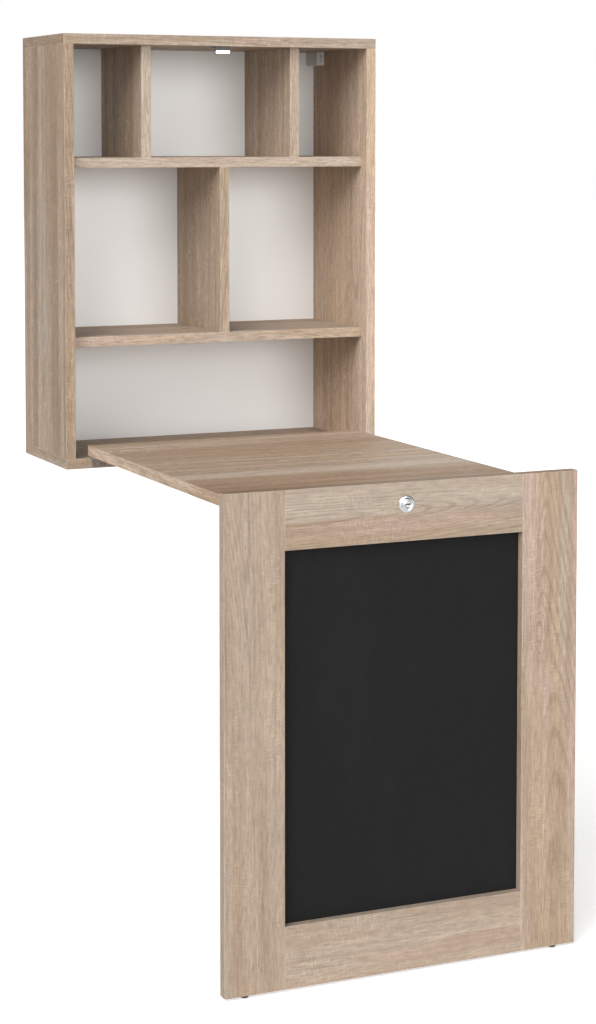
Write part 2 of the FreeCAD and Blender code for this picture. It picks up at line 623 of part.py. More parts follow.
os.makedirs("parts", exist_ok=True)
for name in sorted(parts):
    parts[name].exportStep("parts/" + name + ".step")

print("nodes", len(parts), "solids", sum(len(s.Solids) for s in parts.values()))
for name in sorted(parts):
    shape = parts[name]
    bb = shape.BoundBox
    print("%-26s %2d solids  valid %s  x %.1f %.1f  y %.1f %.1f  z %.1f %.1f" % (
        name, len(shape.Solids), shape.isValid(), bb.XMin, bb.XMax, bb.YMin, bb.YMax,
        bb.ZMin, bb.ZMax))
print("hinge axis A y %.3f z %.3f, axis B y %.3f z %.3f, reach %.3f" % (
    axis_a_y, axis_a_z, axis_b_y, axis_b_z, reach))
print("lock axis z %.3f, floor z %.3f, panel front y %.3f" % (
    lock_z, panel_z0 - GLIDE_H, panel_front))
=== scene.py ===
# %% [markdown]
# # A fold-down wall desk
#
# The desk is a shallow box of shelves that hangs on a wall.  A writing top folds out of it on
# hinges, and a framed blackboard, as tall as the box, hangs from the top's far end and is its
# leg.  Every board keeps the shape that the CAD model gives it.  This script gives the boards
# their laminate, the metal its shine, and models the small turned pieces that a CAD model
# leaves plain: screws, nails, cams, glides, pins, hangers and the lock.

import math

import bmesh
import bpy
from mathutils import Matrix, Vector


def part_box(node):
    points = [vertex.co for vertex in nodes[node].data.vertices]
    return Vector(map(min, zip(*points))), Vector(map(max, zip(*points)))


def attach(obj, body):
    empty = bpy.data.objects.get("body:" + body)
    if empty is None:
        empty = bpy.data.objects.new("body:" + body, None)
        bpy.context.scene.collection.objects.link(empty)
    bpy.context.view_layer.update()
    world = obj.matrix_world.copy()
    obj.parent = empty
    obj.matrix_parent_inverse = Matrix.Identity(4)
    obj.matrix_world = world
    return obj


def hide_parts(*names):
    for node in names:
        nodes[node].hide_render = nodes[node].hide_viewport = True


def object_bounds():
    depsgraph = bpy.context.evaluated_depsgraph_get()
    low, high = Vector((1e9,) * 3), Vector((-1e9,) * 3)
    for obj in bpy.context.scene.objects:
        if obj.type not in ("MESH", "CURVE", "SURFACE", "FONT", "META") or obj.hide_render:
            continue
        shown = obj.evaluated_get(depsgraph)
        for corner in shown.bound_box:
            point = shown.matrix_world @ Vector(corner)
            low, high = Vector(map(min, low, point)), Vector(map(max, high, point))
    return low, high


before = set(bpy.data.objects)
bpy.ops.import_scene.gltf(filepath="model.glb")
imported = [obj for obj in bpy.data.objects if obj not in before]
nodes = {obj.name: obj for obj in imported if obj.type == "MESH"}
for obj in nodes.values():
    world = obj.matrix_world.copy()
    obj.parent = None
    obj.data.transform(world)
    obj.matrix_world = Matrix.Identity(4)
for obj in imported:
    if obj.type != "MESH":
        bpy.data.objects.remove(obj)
cad_box = [list(corner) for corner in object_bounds()]
MM = 0.001
print("CAD nodes", len(nodes), "box", [[round(v, 4) for v in c] for c in cad_box])

# %% [markdown]
# ## Camera
#
# The desk is seen from its front left, at about the height of the box's upper shelf.  Uprights
# stay nearly upright because the lens is shifted down instead of the whole camera being tipped:
# part of the way down is shift, the rest is a slight pitch, so that other views of the same
# camera still hold the whole desk.

# %% Camera
CAMERA_PLACE = (-1.5724, -4.0574, 0.2035)
CAMERA_YAW = 24.196       # degrees right of straight at the wall
CAMERA_PITCH = 3.752      # degrees down
FOCAL = 81.13             # mm on a 36 mm sensor along the picture's long side
SHIFT_DOWN = 0.22

bpy.ops.object.camera_add(location=CAMERA_PLACE)
camera = bpy.context.object
camera.name = "camera"
camera.rotation_euler = (math.radians(90 - CAMERA_PITCH), 0, math.radians(-CAMERA_YAW))
camera.data.sensor_fit = "AUTO"
camera.data.sensor_width = 36
camera.data.lens = FOCAL
camera.data.shift_y = -SHIFT_DOWN
camera.data.clip_end = 60
bpy.context.scene.camera = camera
print("camera", CAMERA_PLACE, "lens", FOCAL)

# %% [markdown]
# ## Room and light
#
# A studio picture of furniture has no hard shadow.  A few very soft suns do most of the work:
# suns and not lamps, because a lamp near the leg would leave the shelves behind it darker.  The
# main one stands straight in front, so it reaches the back of every bay.  A second one, high on
# the left, rakes over the side and the inner faces of the bays, which is why they are darkest
# right under a shelf.  The others give the flat tops and the back their share.  The room adds
# a weak, even dome of light, but smooth surfaces and the chrome see its walls brighter.

# %% Room and light
DOME = 0.06               # brightness of the dome on the desk
WALLS = 0.22              # brightness of the walls in a reflection


def add(tree, kind, inputs=None, **settings):
    """Adds a shader node.  An input that is given a socket is linked, other values are set."""
    made = tree.nodes.new("ShaderNode" + kind)
    for name, value in settings.items():
        setattr(made, name, value)
    for name, value in (inputs or {}).items():
        if isinstance(value, bpy.types.NodeSocket):
            tree.links.new(value, made.inputs[name])
        else:
            made.inputs[name].default_value = value
    return made


world = bpy.data.worlds.new("studio")
bpy.context.scene.world = world
world.use_nodes = True
sky = world.node_tree
sky.nodes.clear()
ray = add(sky, "LightPath").outputs
dome = add(sky, "MapRange", {"Value": ray["Is Glossy Ray"], "To Min": DOME, "To Max": WALLS})
lit = add(sky, "Background", {"Color": (1.0, 0.994, 0.98, 1), "Strength": dome.outputs[0]})
shown = add(sky, "Background", {"Color": (1, 1, 1, 1), "Strength": 1.0})
both = add(sky, "MixShader", {0: ray["Is Camera Ray"], 1: lit.outputs[0], 2: shown.outputs[0]})
add(sky, "OutputWorld", {"Surface": both.outputs[0]})


def sun(name, comes_from, strength, softness):
    """A sun that shines from one side; its softness is how wide it looks, in degrees."""
    bpy.ops.object.light_add(type="SUN", location=Vector(comes_from) * 4)
    made = bpy.context.object
    made.name = name
    made.data.energy = strength
    made.data.angle = math.radians(softness)
    made.rotation_euler = Vector(comes_from).to_track_quat("Z", "Y").to_euler()


sun("front_sun", (0.07, -1.0, -0.04), 2.85, 46)
sun("high_left_sun", (-1.3, -1.0, 1.2), 2.42, 45)
sun("high_front_sun", (-0.8, -1.0, 0.95), 0.50, 45)
sun("side_sun", (-1.0, -0.28, 0.35), 0.20, 60)
sun("back_sun", (0.9, 1.0, 0.25), 0.95, 60)

# %% [markdown]
# The floor is plain and pale.  To the eye it glows more than it does on the desk, so that it
# runs into the white background without throwing light up under the boards.

# %% Floor
FLOOR_SIZE = 60           # metres, so that its rim is never seen
FLOOR_GLOW = 0.10         # the floor's own light on the desk
FLOOR_SHOWN = 0.52        # and to the eye
FLOOR_Z = cad_box[0][2]

bpy.ops.mesh.primitive_plane_add(size=FLOOR_SIZE, location=(0, 0, FLOOR_Z))
floor = bpy.context.object
floor.name = "floor"
pale = bpy.data.materials.new("pale_floor")
pale.use_nodes = True
shader = pale.node_tree.nodes["Principled BSDF"].inputs
shader["Base Color"].default_value = (0.90, 0.90, 0.895, 1)
shader["Roughness"].default_value = 0.9
shader["Emission Color"].default_value = (1, 1, 1, 1)
eye = add(pale.node_tree, "LightPath").outputs["Is Camera Ray"]
glow = add(pale.node_tree, "MapRange", {"Value": eye, "To Min": FLOOR_GLOW,
                                        "To Max": FLOOR_SHOWN}).outputs["Result"]
pale.node_tree.links.new(glow, shader["Emission Strength"])
floor.data.materials.append(pale)

bpy.context.scene.view_settings.view_transform = "Standard"
print("floor at", round(FLOOR_Z, 4))

# %% [markdown]
# ## Small helpers for node trees
#
# A material in Blender is a little network.  Written out in full, every node takes four lines,
# so a few helpers keep the materials below readable.  Each one adds a node or two and returns
# the socket that carries the result, so that the calls can be nested like a formula.

# %% Helpers for node trees
def calc(tree, operation, a, b=0.0, clamp=False):
    return add(tree, "Math", {0: a, 1: b}, operation=operation, use_clamp=clamp).outputs[0]


def plus(tree, a, b):
    return calc(tree, "ADD", a, b)


def times(tree, a, b):
    return calc(tree, "MULTIPLY", a, b)


def vector_calc(tree, operation, a, b=(0, 0, 0)):
    return add(tree, "VectorMath", {0: a, 1: b}, operation=operation).outputs["Vector"]


def vector_plus(tree, a, b):
    return vector_calc(tree, "ADD", a, b)


def vector_times(tree, a, b):
    return vector_calc(tree, "MULTIPLY", a, b)


def scaled(tree, vector, by):
    return add(tree, "VectorMath", {0: vector, "Scale": by}, operation="SCALE").outputs["Vector"]


def split(tree, vector):
    return add(tree, "SeparateXYZ", {0: vector}).outputs


def spread(tree, value, low, high, to_low=0.0, to_high=1.0, smooth=True):
    """Maps low..high of a value to another range, and holds it at the ends."""
    kind = "SMOOTHSTEP" if smooth else "LINEAR"
    names = {"Value": value, "From Min": low, "From Max": high, "To Min": to_low, "To Max": to_high}
    return add(tree, "MapRange", names, interpolation_type=kind).outputs["Result"]


def tint(tree, amount, under, over):
    """Mixes two colours, each of them a socket or three numbers."""
    pair = [c if isinstance(c, bpy.types.NodeSocket) else (*c, 1) for c in (under, over)]
    return add(tree, "Mix", {0: amount, 6: pair[0], 7: pair[1]}, data_type="RGBA").outputs[2]


def noise(tree, place, stretch, detail=2.0, rough=0.5, warp=0.0):
    """Noise whose spots are 1 / stretch metres long along each axis."""
    at = vector_times(tree, place, stretch)
    names = {"Vector": at, "Scale": 1.0, "Detail": detail, "Roughness": rough, "Distortion": warp}
    return add(tree, "TexNoise", names).outputs["Fac"]


def elsewhere(tree, place, step):
    """Another part of the same noise, so that two patterns don't follow each other."""
    return vector_plus(tree, place, step)


# %% [markdown]
# What several materials share is a node group with named inputs and outputs.  A material is
# started with its shader and its coordinates, and the CAD nodes are then dressed in it.

# %% Groups and materials
def group(name, inputs, outputs):
    """Starts a shader node group and returns it with its inputs and outputs."""
    tree = bpy.data.node_groups.new(name, "ShaderNodeTree")
    for label, kind, value in inputs:
        socket = tree.interface.new_socket(label, in_out="INPUT", socket_type="NodeSocket" + kind)
        socket.default_value = value
    for label, kind in outputs:
        tree.interface.new_socket(label, in_out="OUTPUT", socket_type="NodeSocket" + kind)
    start = tree.nodes.new("NodeGroupInput").outputs
    end = tree.nodes.new("NodeGroupOutput").inputs
    return tree, start, end


def place_group(tree, inner, inputs):
    return add(tree, "Group", inputs, node_tree=inner).outputs


def new_finish(name):
    """Starts a material and returns it with its tree, its shader's inputs and its coordinates."""
    made = bpy.data.materials.new(name)
    made.use_nodes = True
    tree = made.node_tree
    where = tree.nodes.new("ShaderNodeTexCoord").outputs
    return made, tree, tree.nodes["Principled BSDF"].inputs, where


def dress(material, *names):
    """Gives CAD nodes that keep their shape their finish."""
    for name in names:
        nodes[name].data.materials.clear()
        nodes[name].data.materials.append(material)


def bump(tree, height, strength, distance, over=None):
    """Turns a height into a normal; over is the normal of coarser bumps under these."""
    names = {"Height": height, "Strength": strength, "Distance": distance}
    if over is not None:
        names["Normal"] = over
    return add(tree, "Bump", names).outputs["Normal"]


def plug_in(tree, shader, color, rough, normal, specular=0.5):
    """Links what was mixed to the shader."""
    tree.links.new(color, shader["Base Color"])
    tree.links.new(rough, shader["Roughness"])
    tree.links.new(normal, shader["Normal"])
    shader["Specular IOR Level"].default_value = specular


# %% [markdown]
# ## Sawn oak decor
#
# The boards are chipboard with a printed foil: light greyish oak, planed but with the marks of
# the saw left in.  Nothing in it is a single colour.  From large to small there are bands as
# wide as a thumb in grey-beige, tan and rose, narrower streaks, hair-thin fibres and pores,
# flame-shaped lines where the saw cut through the growth rings, here and there a heart that
# the lines bend around, and faint marks straight across the grain.
#
# All of it is noise that is stretched along the grain.  The group below takes a place whose
# first axis runs along the grain, so one group serves every board: the material turns the
# place to suit the board.  The edges of such boards are covered with a strip of their own, so
# the group moves to another part of the pattern there, and turns the grain along the strip on
# a board's ends.
#
# The group's inputs say what one board has more or less of.  Bands is the share of broad brown
# bands, Tan that of tan against grey-beige, Figure the strength of fibres and pores, Brown a
# place that is browner altogether, Tone how light the board is, and Heart where a heart sits.

# %% Sawn oak decor
GREY_BEIGE = (0.548, 0.450, 0.361)
TAN = (0.512, 0.378, 0.266)
ROSE = (0.572, 0.416, 0.338)
STRIPE_BROWN = (0.352, 0.250, 0.166)
RING_BROWN = (0.255, 0.172, 0.108)
PALE_MARK = (0.690, 0.568, 0.455)
WARM_BROWN = (0.400, 0.280, 0.188)
BROWNER = (0.77, 0.685, 0.60)            # what a brown place keeps of each colour

# spots per metre along the grain, across it and through it
RING_SPOTS, BROAD_SPOTS, BAND_SPOTS = (0.75, 7.5, 7.5), (0.5, 15, 15), (1.0, 24, 24)
ROSE_SPOTS, STRIPE_SPOTS, STREAK_SPOTS = (1.7, 30, 30), (0.9, 44, 44), (3.6, 120, 120)
FIBRE_SPOTS, PORE_SPOTS, SAW_SPOTS = (40, 420, 420), (60, 540, 540), (420, 75, 75)
SWAY = 0.030                             # metres that a streak wanders sideways
RINGS_PER_STEP = 330.0                   # how densely growth rings lie
HEART_STRETCH = (24, 62, 62)             # a heart is longer along the grain than across

sawn_oak, given, out = group(
    "sawn_oak",
    [("Grain", "Vector", (0, 0, 0)), ("Facing", "Vector", (0, 0, 1)), ("Seed", "Float", 0.0),
     ("Brown", "Float", 0.0), ("Bands", "Float", 0.35), ("Figure", "Float", 1.0),
     ("Tan", "Float", 1.0), ("Tone", "Float", 1.0), ("Heart", "Vector", (9, 9, 9)),
     ("Heart Size", "Float", 1.0)],
    [("Color", "Color"), ("Roughness", "Float"), ("Height", "Float")])
t = sawn_oak

# which strip of foil a face wears
axes = split(t, given["Facing"])
on_end = calc(t, "GREATER_THAN", calc(t, "ABSOLUTE", axes["X"]), 0.7)
on_edge = calc(t, "GREATER_THAN", calc(t, "ABSOLUTE", axes["Y"]), 0.7)
at = split(t, given["Grain"])
turned = add(t, "CombineXYZ", {"X": at["Y"], "Y": at["X"], "Z": at["Z"]}).outputs[0]
strip = add(t, "Mix", {0: on_end, 4: given["Grain"], 5: turned}, data_type="VECTOR")
other = plus(t, times(t, on_end, 2.3), times(t, on_edge, 1.7))
shift = plus(t, given["Seed"], other)
place = vector_plus(t, strip.outputs[1], scaled(t, (3.71, 1.37, 0.73), shift))

# %% [markdown]
# Bands, stripes and streaks are the same noise at different widths, and each has its own
# colour.  Their place is pushed sideways a little by a slow noise, so that they wander on their
# way along the board as real grain does.

# %% Bands, stripes and streaks
sway = calc(t, "SUBTRACT", noise(t, place, (1.9, 6, 6), detail=1), 0.5)
sway = times(t, sway, SWAY)
wander = vector_plus(t, place, scaled(t, (0, 1, 1), sway))

band = spread(t, noise(t, wander, BAND_SPOTS, detail=2), 0.40, 0.60)
rose = spread(t, noise(t, elsewhere(t, wander, (3, 5, 7)), ROSE_SPOTS), 0.52, 0.68)
stripe = noise(t, elsewhere(t, wander, (7, 3, 1)), STRIPE_SPOTS, detail=2, rough=0.6)
streak = noise(t, wander, STREAK_SPOTS, detail=3, rough=0.65)
fibre = noise(t, wander, FIBRE_SPOTS, detail=2, rough=0.6)
broad = noise(t, elsewhere(t, wander, (2, 9, 4)), BROAD_SPOTS, detail=1.5)
bands = times(t, given["Bands"], spread(t, on_edge, 0, 1, 1.0, 0.4))
broad = times(t, spread(t, broad, 0.39, 0.62), bands)
color = tint(t, times(t, band, given["Tan"]), GREY_BEIGE, TAN)
color = tint(t, times(t, rose, 0.75), color, ROSE)
dark_stripe = spread(t, stripe, 0.49, 0.60)
depth = plus(t, 0.16, times(t, bands, 0.55))
color = tint(t, times(t, dark_stripe, depth), color, STRIPE_BROWN)
color = tint(t, broad, color, WARM_BROWN)

# %% [markdown]
# Growth rings that are cut at a slant come out as long flames.  They are the contour lines of
# one soft noise: its sine turns the height into lines.  A heart is a hill in that noise, so the
# lines bend round it.  Flames only show in patches.

# %% Growth rings
away = vector_calc(t, "SUBTRACT", given["Grain"], given["Heart"])
away = vector_times(t, away, HEART_STRETCH)
away = scaled(t, away, calc(t, "DIVIDE", 1.0, given["Heart Size"]))
far = add(t, "VectorMath", {0: away}, operation="LENGTH").outputs["Value"]
heart = calc(t, "POWER", 2.718, times(t, times(t, far, far), -1.0))
ring_field = noise(t, place, RING_SPOTS, detail=1.2, warp=0.35)
ring_field = plus(t, ring_field, times(t, heart, 0.10))
rings = calc(t, "SINE", times(t, ring_field, RINGS_PER_STEP))
rings = spread(t, rings, 0.25, 0.95)
flame_patch = spread(t, noise(t, elsewhere(t, place, (11, 2, 4)), (1.3, 9, 9)), 0.48, 0.60)
flame_patch = calc(t, "MAXIMUM", times(t, flame_patch, 0.52), heart)
rings = times(t, rings, flame_patch)
color = tint(t, times(t, rings, 0.62), color, RING_BROWN)

# %% [markdown]
# Pores are short dark dashes in the darker streaks.  The saw's marks are pale and go straight
# across the grain, all over but stronger in patches.  Last, streaks, fibres and marks make the
# foil lighter or darker together, and pores are pressed in while marks stand up.

# %% Pores, saw marks and shade
dash = spread(t, noise(t, wander, PORE_SPOTS, detail=1), 0.56, 0.68)
dash = times(t, dash, spread(t, streak, 0.40, 0.62))
dash = times(t, dash, given["Figure"])
color = tint(t, times(t, dash, 0.62), color, RING_BROWN)

saw = noise(t, place, SAW_SPOTS, detail=2, rough=0.65)
mark = spread(t, saw, 0.54, 0.68)
patch = spread(t, noise(t, elsewhere(t, place, (5, 1, 2)), (7, 15, 15)), 0.52, 0.68)
mark = times(t, mark, plus(t, times(t, patch, 0.88), 0.12))
color = tint(t, times(t, mark, 0.46), color, PALE_MARK)

fine = plus(t, spread(t, fibre, 0.34, 0.66, -0.18, 0.18, smooth=False),
            spread(t, saw, 0.34, 0.66, -0.055, 0.055, smooth=False))
shade = plus(t, spread(t, streak, 0.34, 0.66, 0.88, 1.11, smooth=False),
             times(t, fine, given["Figure"]))
color = tint(t, given["Brown"], color, vector_times(t, color, BROWNER))
shade = times(t, shade, given["Tone"])
t.links.new(scaled(t, color, shade), out["Color"])
t.links.new(plus(t, 0.52, times(t, fibre, 0.16)), out["Roughness"])
t.links.new(calc(t, "SUBTRACT", plus(t, times(t, fibre, 0.5), mark), dash), out["Height"])
print("sawn oak group", len(t.nodes), "nodes")

# %% [markdown]
# ## Painted highlight along a board's edges
#
# Every edge of a board gets a painted highlight: a thin line that is lighter than the face.  A
# face of a board lies on one side of its box, so its distance to the nearest edge is the second
# smallest of the three distances to the box's sides.  The group gives a thin line along every
# edge from that, broken up by noise.

# %% Painted highlight along the edges
edge_line, given, out = group(
    "edge_line",
    [("Place", "Vector", (0, 0, 0)), ("Middle", "Vector", (0, 0, 0)),
     ("Half", "Vector", (1, 1, 1)), ("Width", "Float", 0.001)],
    [("Line", "Float")])
t = edge_line
apart = vector_calc(t, "ABSOLUTE", vector_calc(t, "SUBTRACT", given["Place"], given["Middle"]))
apart = split(t, vector_calc(t, "SUBTRACT", given["Half"], apart))
low = calc(t, "MINIMUM", apart["X"], apart["Y"])
high = calc(t, "MAXIMUM", apart["X"], apart["Y"])
nearest = calc(t, "MAXIMUM", low, calc(t, "MINIMUM", high, apart["Z"]))
width_noise = noise(t, given["Place"], (38, 38, 38), detail=3)
width = times(t, given["Width"], spread(t, width_noise, 0.35, 0.65, 0.5, 1.5))
line = calc(t, "SUBTRACT", 1.0, calc(t, "DIVIDE", nearest, width), clamp=True)
t.links.new(line, out["Line"])
print("edge line group", len(t.nodes), "nodes")

# %% [markdown]
# ## Oak for each board
#
# Every board gets a material of its own, because no two boards are cut from the same stretch
# of foil.  A Mapping node turns the object's own coordinates so that the first axis runs along
# the grain and the third through the board's thickness.
#
# The writing top is the brownest board: a broad brown band runs along its front edge.  The
# strips on the upper edges of the leg panel are browner than its faces.

# %% Oak for each board
ACROSS_X, ACROSS_Y, UP_Z = Vector((1, 0, 0)), Vector((0, 1, 0)), Vector((0, 0, 1))
WHOLE_TONE = 0.83                        # all boards together, lighter or darker
EDGE_WIDTH = 0.0012                      # metres of painted highlight along an edge
# painted highlight: the lighter colour of the line along every edge
EDGE_HIGHLIGHT = (0.66, 0.55, 0.46)
FRONT_BAND = (-0.70, -0.76)              # where the top's brown band begins and is full


def oak(node, along, through, seed, tone=1.0, bands=0.35, figure=1.0, tan=1.0, brown=None,
        heart=None, heart_size=1.0):
    """Dresses a board in oak, from the axes along its grain and through its thickness."""
    made, tree, shader, where = new_finish("oak_" + node)
    turn = Matrix((along, through.cross(along), through)).to_euler()
    grain = add(tree, "Mapping", {"Vector": where["Object"], "Rotation": turn}).outputs[0]
    facing = add(tree, "Mapping", {"Vector": where["Normal"], "Rotation": turn}).outputs[0]
    inputs = {"Grain": grain, "Facing": facing, "Seed": seed, "Bands": bands, "Figure": figure,
              "Tan": tan, "Tone": WHOLE_TONE * tone, "Heart Size": heart_size}
    if brown == "front":        # a brown band along the front edge, and browner ends
        depth = split(tree, where["Object"])["Y"]
        sideways = split(tree, where["Normal"])["X"]
        end = calc(tree, "GREATER_THAN", calc(tree, "ABSOLUTE", sideways), 0.7)
        inputs["Brown"] = calc(tree, "MAXIMUM", spread(tree, depth, *FRONT_BAND, 0.0, 0.95),
                               times(tree, end, 0.5))
    if brown == "top edge":     # the strip on the upper edge is browner than the face
        upward = split(tree, where["Normal"])["Z"]
        inputs["Brown"] = calc(tree, "GREATER_THAN", upward, 0.7)
    if heart:
        point = Vector(heart)
        point.rotate(turn)
        inputs["Heart"] = point
    decor = place_group(tree, sawn_oak, inputs)
    low_corner, high_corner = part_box(node)
    # painted highlight: a lighter, glossier line along every edge of the board
    edge_highlight = place_group(tree, edge_line, {
        "Place": where["Object"], "Middle": (low_corner + high_corner) / 2,
        "Half": (high_corner - low_corner) / 2, "Width": EDGE_WIDTH})["Line"]
    color = tint(tree, times(tree, edge_highlight, 0.30), decor["Color"], EDGE_HIGHLIGHT)
    rough = calc(tree, "SUBTRACT", decor["Roughness"], times(tree, edge_highlight, 0.12))
    plug_in(tree, shader, color, rough, bump(tree, decor["Height"], 0.35, 0.0004), 0.25)
    dress(made, node)


# %% [markdown]
# Most boards differ a little in tone, because each was cut from its own sheet; the right side is
# made a quarter lighter.  The writing top is made far lighter than the rest, which is painted
# light: it stands for the light that falls on its upper face.  The left side and the right stile
# have a heart, and the left side and the top are the most banded.  The numbers after the two
# directions are the seeds, which choose the stretch of foil.

# %% The boards
oak("bottom_panel", ACROSS_X, UP_Z, 1.0, tone=0.90)
oak("top_panel", ACROSS_X, UP_Z, 2.1, tone=0.88)
oak("side_panel_left", UP_Z, ACROSS_X, 3.3, tone=0.91, bands=0.85, heart=(-0.3, -0.17, 0.115),
    heart_size=0.8)
oak("side_panel_right", UP_Z, ACROSS_X, 4.2, tone=1.25, bands=0.55)
oak("shelf_lower", ACROSS_X, UP_Z, 5.6, tone=1.02)
oak("shelf_upper", ACROSS_X, UP_Z, 6.4, tone=0.99)
oak("divider_upper_left", UP_Z, ACROSS_X, 7.7, tone=1.04)
oak("divider_upper_right", UP_Z, ACROSS_X, 8.5, tone=1.04)
oak("divider_lower", UP_Z, ACROSS_X, 9.2, tone=1.0)
# painted light: a high tone makes the writing top's upper face lighter, for the light that falls on
# it
oak("writing_top", ACROSS_X, UP_Z, 10.9, tone=1.38, bands=0.72, brown="front")
oak("panel_stile_left", UP_Z, ACROSS_Y, 11.8, tone=0.925, figure=0.75, tan=0.45,
    brown="top edge")
oak("panel_stile_right", UP_Z, ACROSS_Y, 12.4, tone=0.94, figure=0.75, brown="top edge",
    heart=(0.224, -0.96, -0.570), heart_size=1.2)
oak("panel_rail_top", ACROSS_X, ACROSS_Y, 13.5, tone=0.89, bands=0.2, figure=0.6,
    brown="top edge")
oak("panel_rail_bottom", ACROSS_X, ACROSS_Y, 14.7, tone=0.91, figure=0.7, tan=0.45)
print("oak boards", sum(m.name.startswith("oak_") for m in bpy.data.materials))

# %% [markdown]
# ## White back
#
# The back of the box is thin hardboard: a white foil in front, raw brown fibre behind and on
# its edges.  It is one board, so one material has to know where it is: everything further in
# than the foil's thickness is fibre.  The foil isn't quite even, and hardboard ripples a
# little between its nails.

# %% White back
FIBRE_DARK, FIBRE_LIGHT = (0.185, 0.108, 0.060), (0.40, 0.272, 0.176)
FIBRE_FLECK = (0.13, 0.075, 0.04)
FOIL_THICK = 0.00015                     # metres


def hardboard(tree, where, foil_color, foil_rough, foil_at):
    """Mixes a foiled front with a raw fibre back; foil_at is the front face's place on Y."""
    fibre = noise(tree, where["Object"], (260, 260, 260), detail=4, rough=0.65)
    fleck = spread(tree, noise(tree, where["Object"], (900, 400, 900), detail=1), 0.62, 0.74)
    blotch = noise(tree, where["Object"], (26, 26, 26), detail=5, rough=0.72)
    felt = plus(tree, times(tree, fibre, 0.62),
                spread(tree, blotch, 0.30, 0.70, 0.06, 0.32))
    raw = tint(tree, felt, FIBRE_DARK, FIBRE_LIGHT)
    raw = tint(tree, times(tree, fleck, 0.5), raw, FIBRE_FLECK)
    behind = split(tree, where["Object"])["Y"]
    behind = calc(tree, "GREATER_THAN", behind, foil_at + FOIL_THICK)
    color = tint(tree, behind, foil_color, raw)
    rough = plus(tree, times(tree, behind, 0.85 - foil_rough), foil_rough)
    height = times(tree, plus(tree, behind, 0.12), fibre)
    return color, rough, height


made, tree, shader, where = new_finish("white_foil")
cloud = noise(tree, where["Object"], (5, 5, 5), detail=3)
grain = noise(tree, where["Object"], (700, 700, 700), detail=1)
foil = tint(tree, cloud, (0.885, 0.885, 0.880), (0.915, 0.915, 0.911))
foil = tint(tree, times(tree, spread(tree, grain, 0.35, 0.65), 0.10), foil,
            (0.83, 0.828, 0.82))
foil, rough, height = hardboard(tree, where, foil, 0.42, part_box("back_panel")[0].y)
ripple = bump(tree, noise(tree, where["Object"], (9, 9, 9), detail=0), 0.12, 0.01)
plug_in(tree, shader, foil, rough, bump(tree, height, 0.3, 0.0003, over=ripple), 0.4)
dress(made, "back_panel")

# %% [markdown]
# ## Blackboard
#
# Chalkboard paint on hardboard is matt and nearly black.  It is never wiped quite clean, so a
# trace of chalk dust lies in wide, soft strokes.

# %% Blackboard
made, tree, shader, where = new_finish("chalkboard_coat")
stroke = noise(tree, where["Object"], (7, 1, 2.2), detail=4, rough=0.7, warp=1.2)
haze = spread(tree, stroke, 0.45, 0.80)
speck = spread(tree, noise(tree, where["Object"], (850, 850, 850), detail=1), 0.55, 0.75)
coat = tint(tree, haze, (0.0120, 0.0120, 0.0121), (0.0165, 0.0165, 0.0166))
coat = tint(tree, times(tree, speck, 0.22), coat, (0.036, 0.036, 0.036))
coat, rough, height = hardboard(tree, where, coat, 0.78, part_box("blackboard")[0].y)
rough = plus(tree, rough, times(tree, haze, 0.08))
height = plus(tree, height, times(tree, speck, 0.4))
plug_in(tree, shader, coat, rough, bump(tree, height, 0.25, 0.0003), 0.12)
dress(made, "blackboard")
print("foiled and coated boards done")

# %% [markdown]
# ## Metals
#
# Hinges and screws are zinc-plated: grey with a cloudy, crystalline bloom and fine scratches.
# The lock is chromed in front, so it shows little but its surroundings, and plain steel behind.
# The cams in the shelves are die-cast and dull.  The strike's web is made nearly black, which is
# painted shade under the top panel, and its lip is bright.
# A group makes the cloud, the scratches and the fine lines that turning leaves, and each
# material takes as much of each as it needs.

# %% Metal surface group
metal_skin, given, out = group(
    "metal_skin",
    [("Place", "Vector", (0, 0, 0)), ("Lines", "Vector", (400, 400, 400)),
     ("Cloud Size", "Float", 500.0)],
    [("Cloud", "Float"), ("Lines", "Float"), ("Scratch", "Float")])
t = metal_skin
cloud_at = scaled(t, given["Place"], given["Cloud Size"])
cloud = add(t, "TexVoronoi", {"Vector": cloud_at, "Scale": 1.0, "Randomness": 1.0}).outputs
soft = noise(t, cloud_at, (0.45, 0.45, 0.45), detail=3)
flake = add(t, "SeparateColor", {0: cloud["Color"]}).outputs[0]
t.links.new(plus(t, times(t, flake, 0.45), times(t, soft, 0.55)), out["Cloud"])
t.links.new(noise(t, given["Place"], given["Lines"]), out["Lines"])
cross = add(t, "VectorRotate", {"Vector": given["Place"], "Angle": 0.7},
            rotation_type="Y_AXIS").outputs[0]
scratch = noise(t, cross, (3000, 900, 60), detail=2, rough=0.7, warp=0.4)
t.links.new(spread(t, scratch, 0.62, 0.72), out["Scratch"])
print("metal group", len(t.nodes), "nodes")

# %% [markdown]
# The zinc, chrome and cast finishes and the strike's painted shade differ in colour, in roughness
# and in how strongly cloud and lines show.

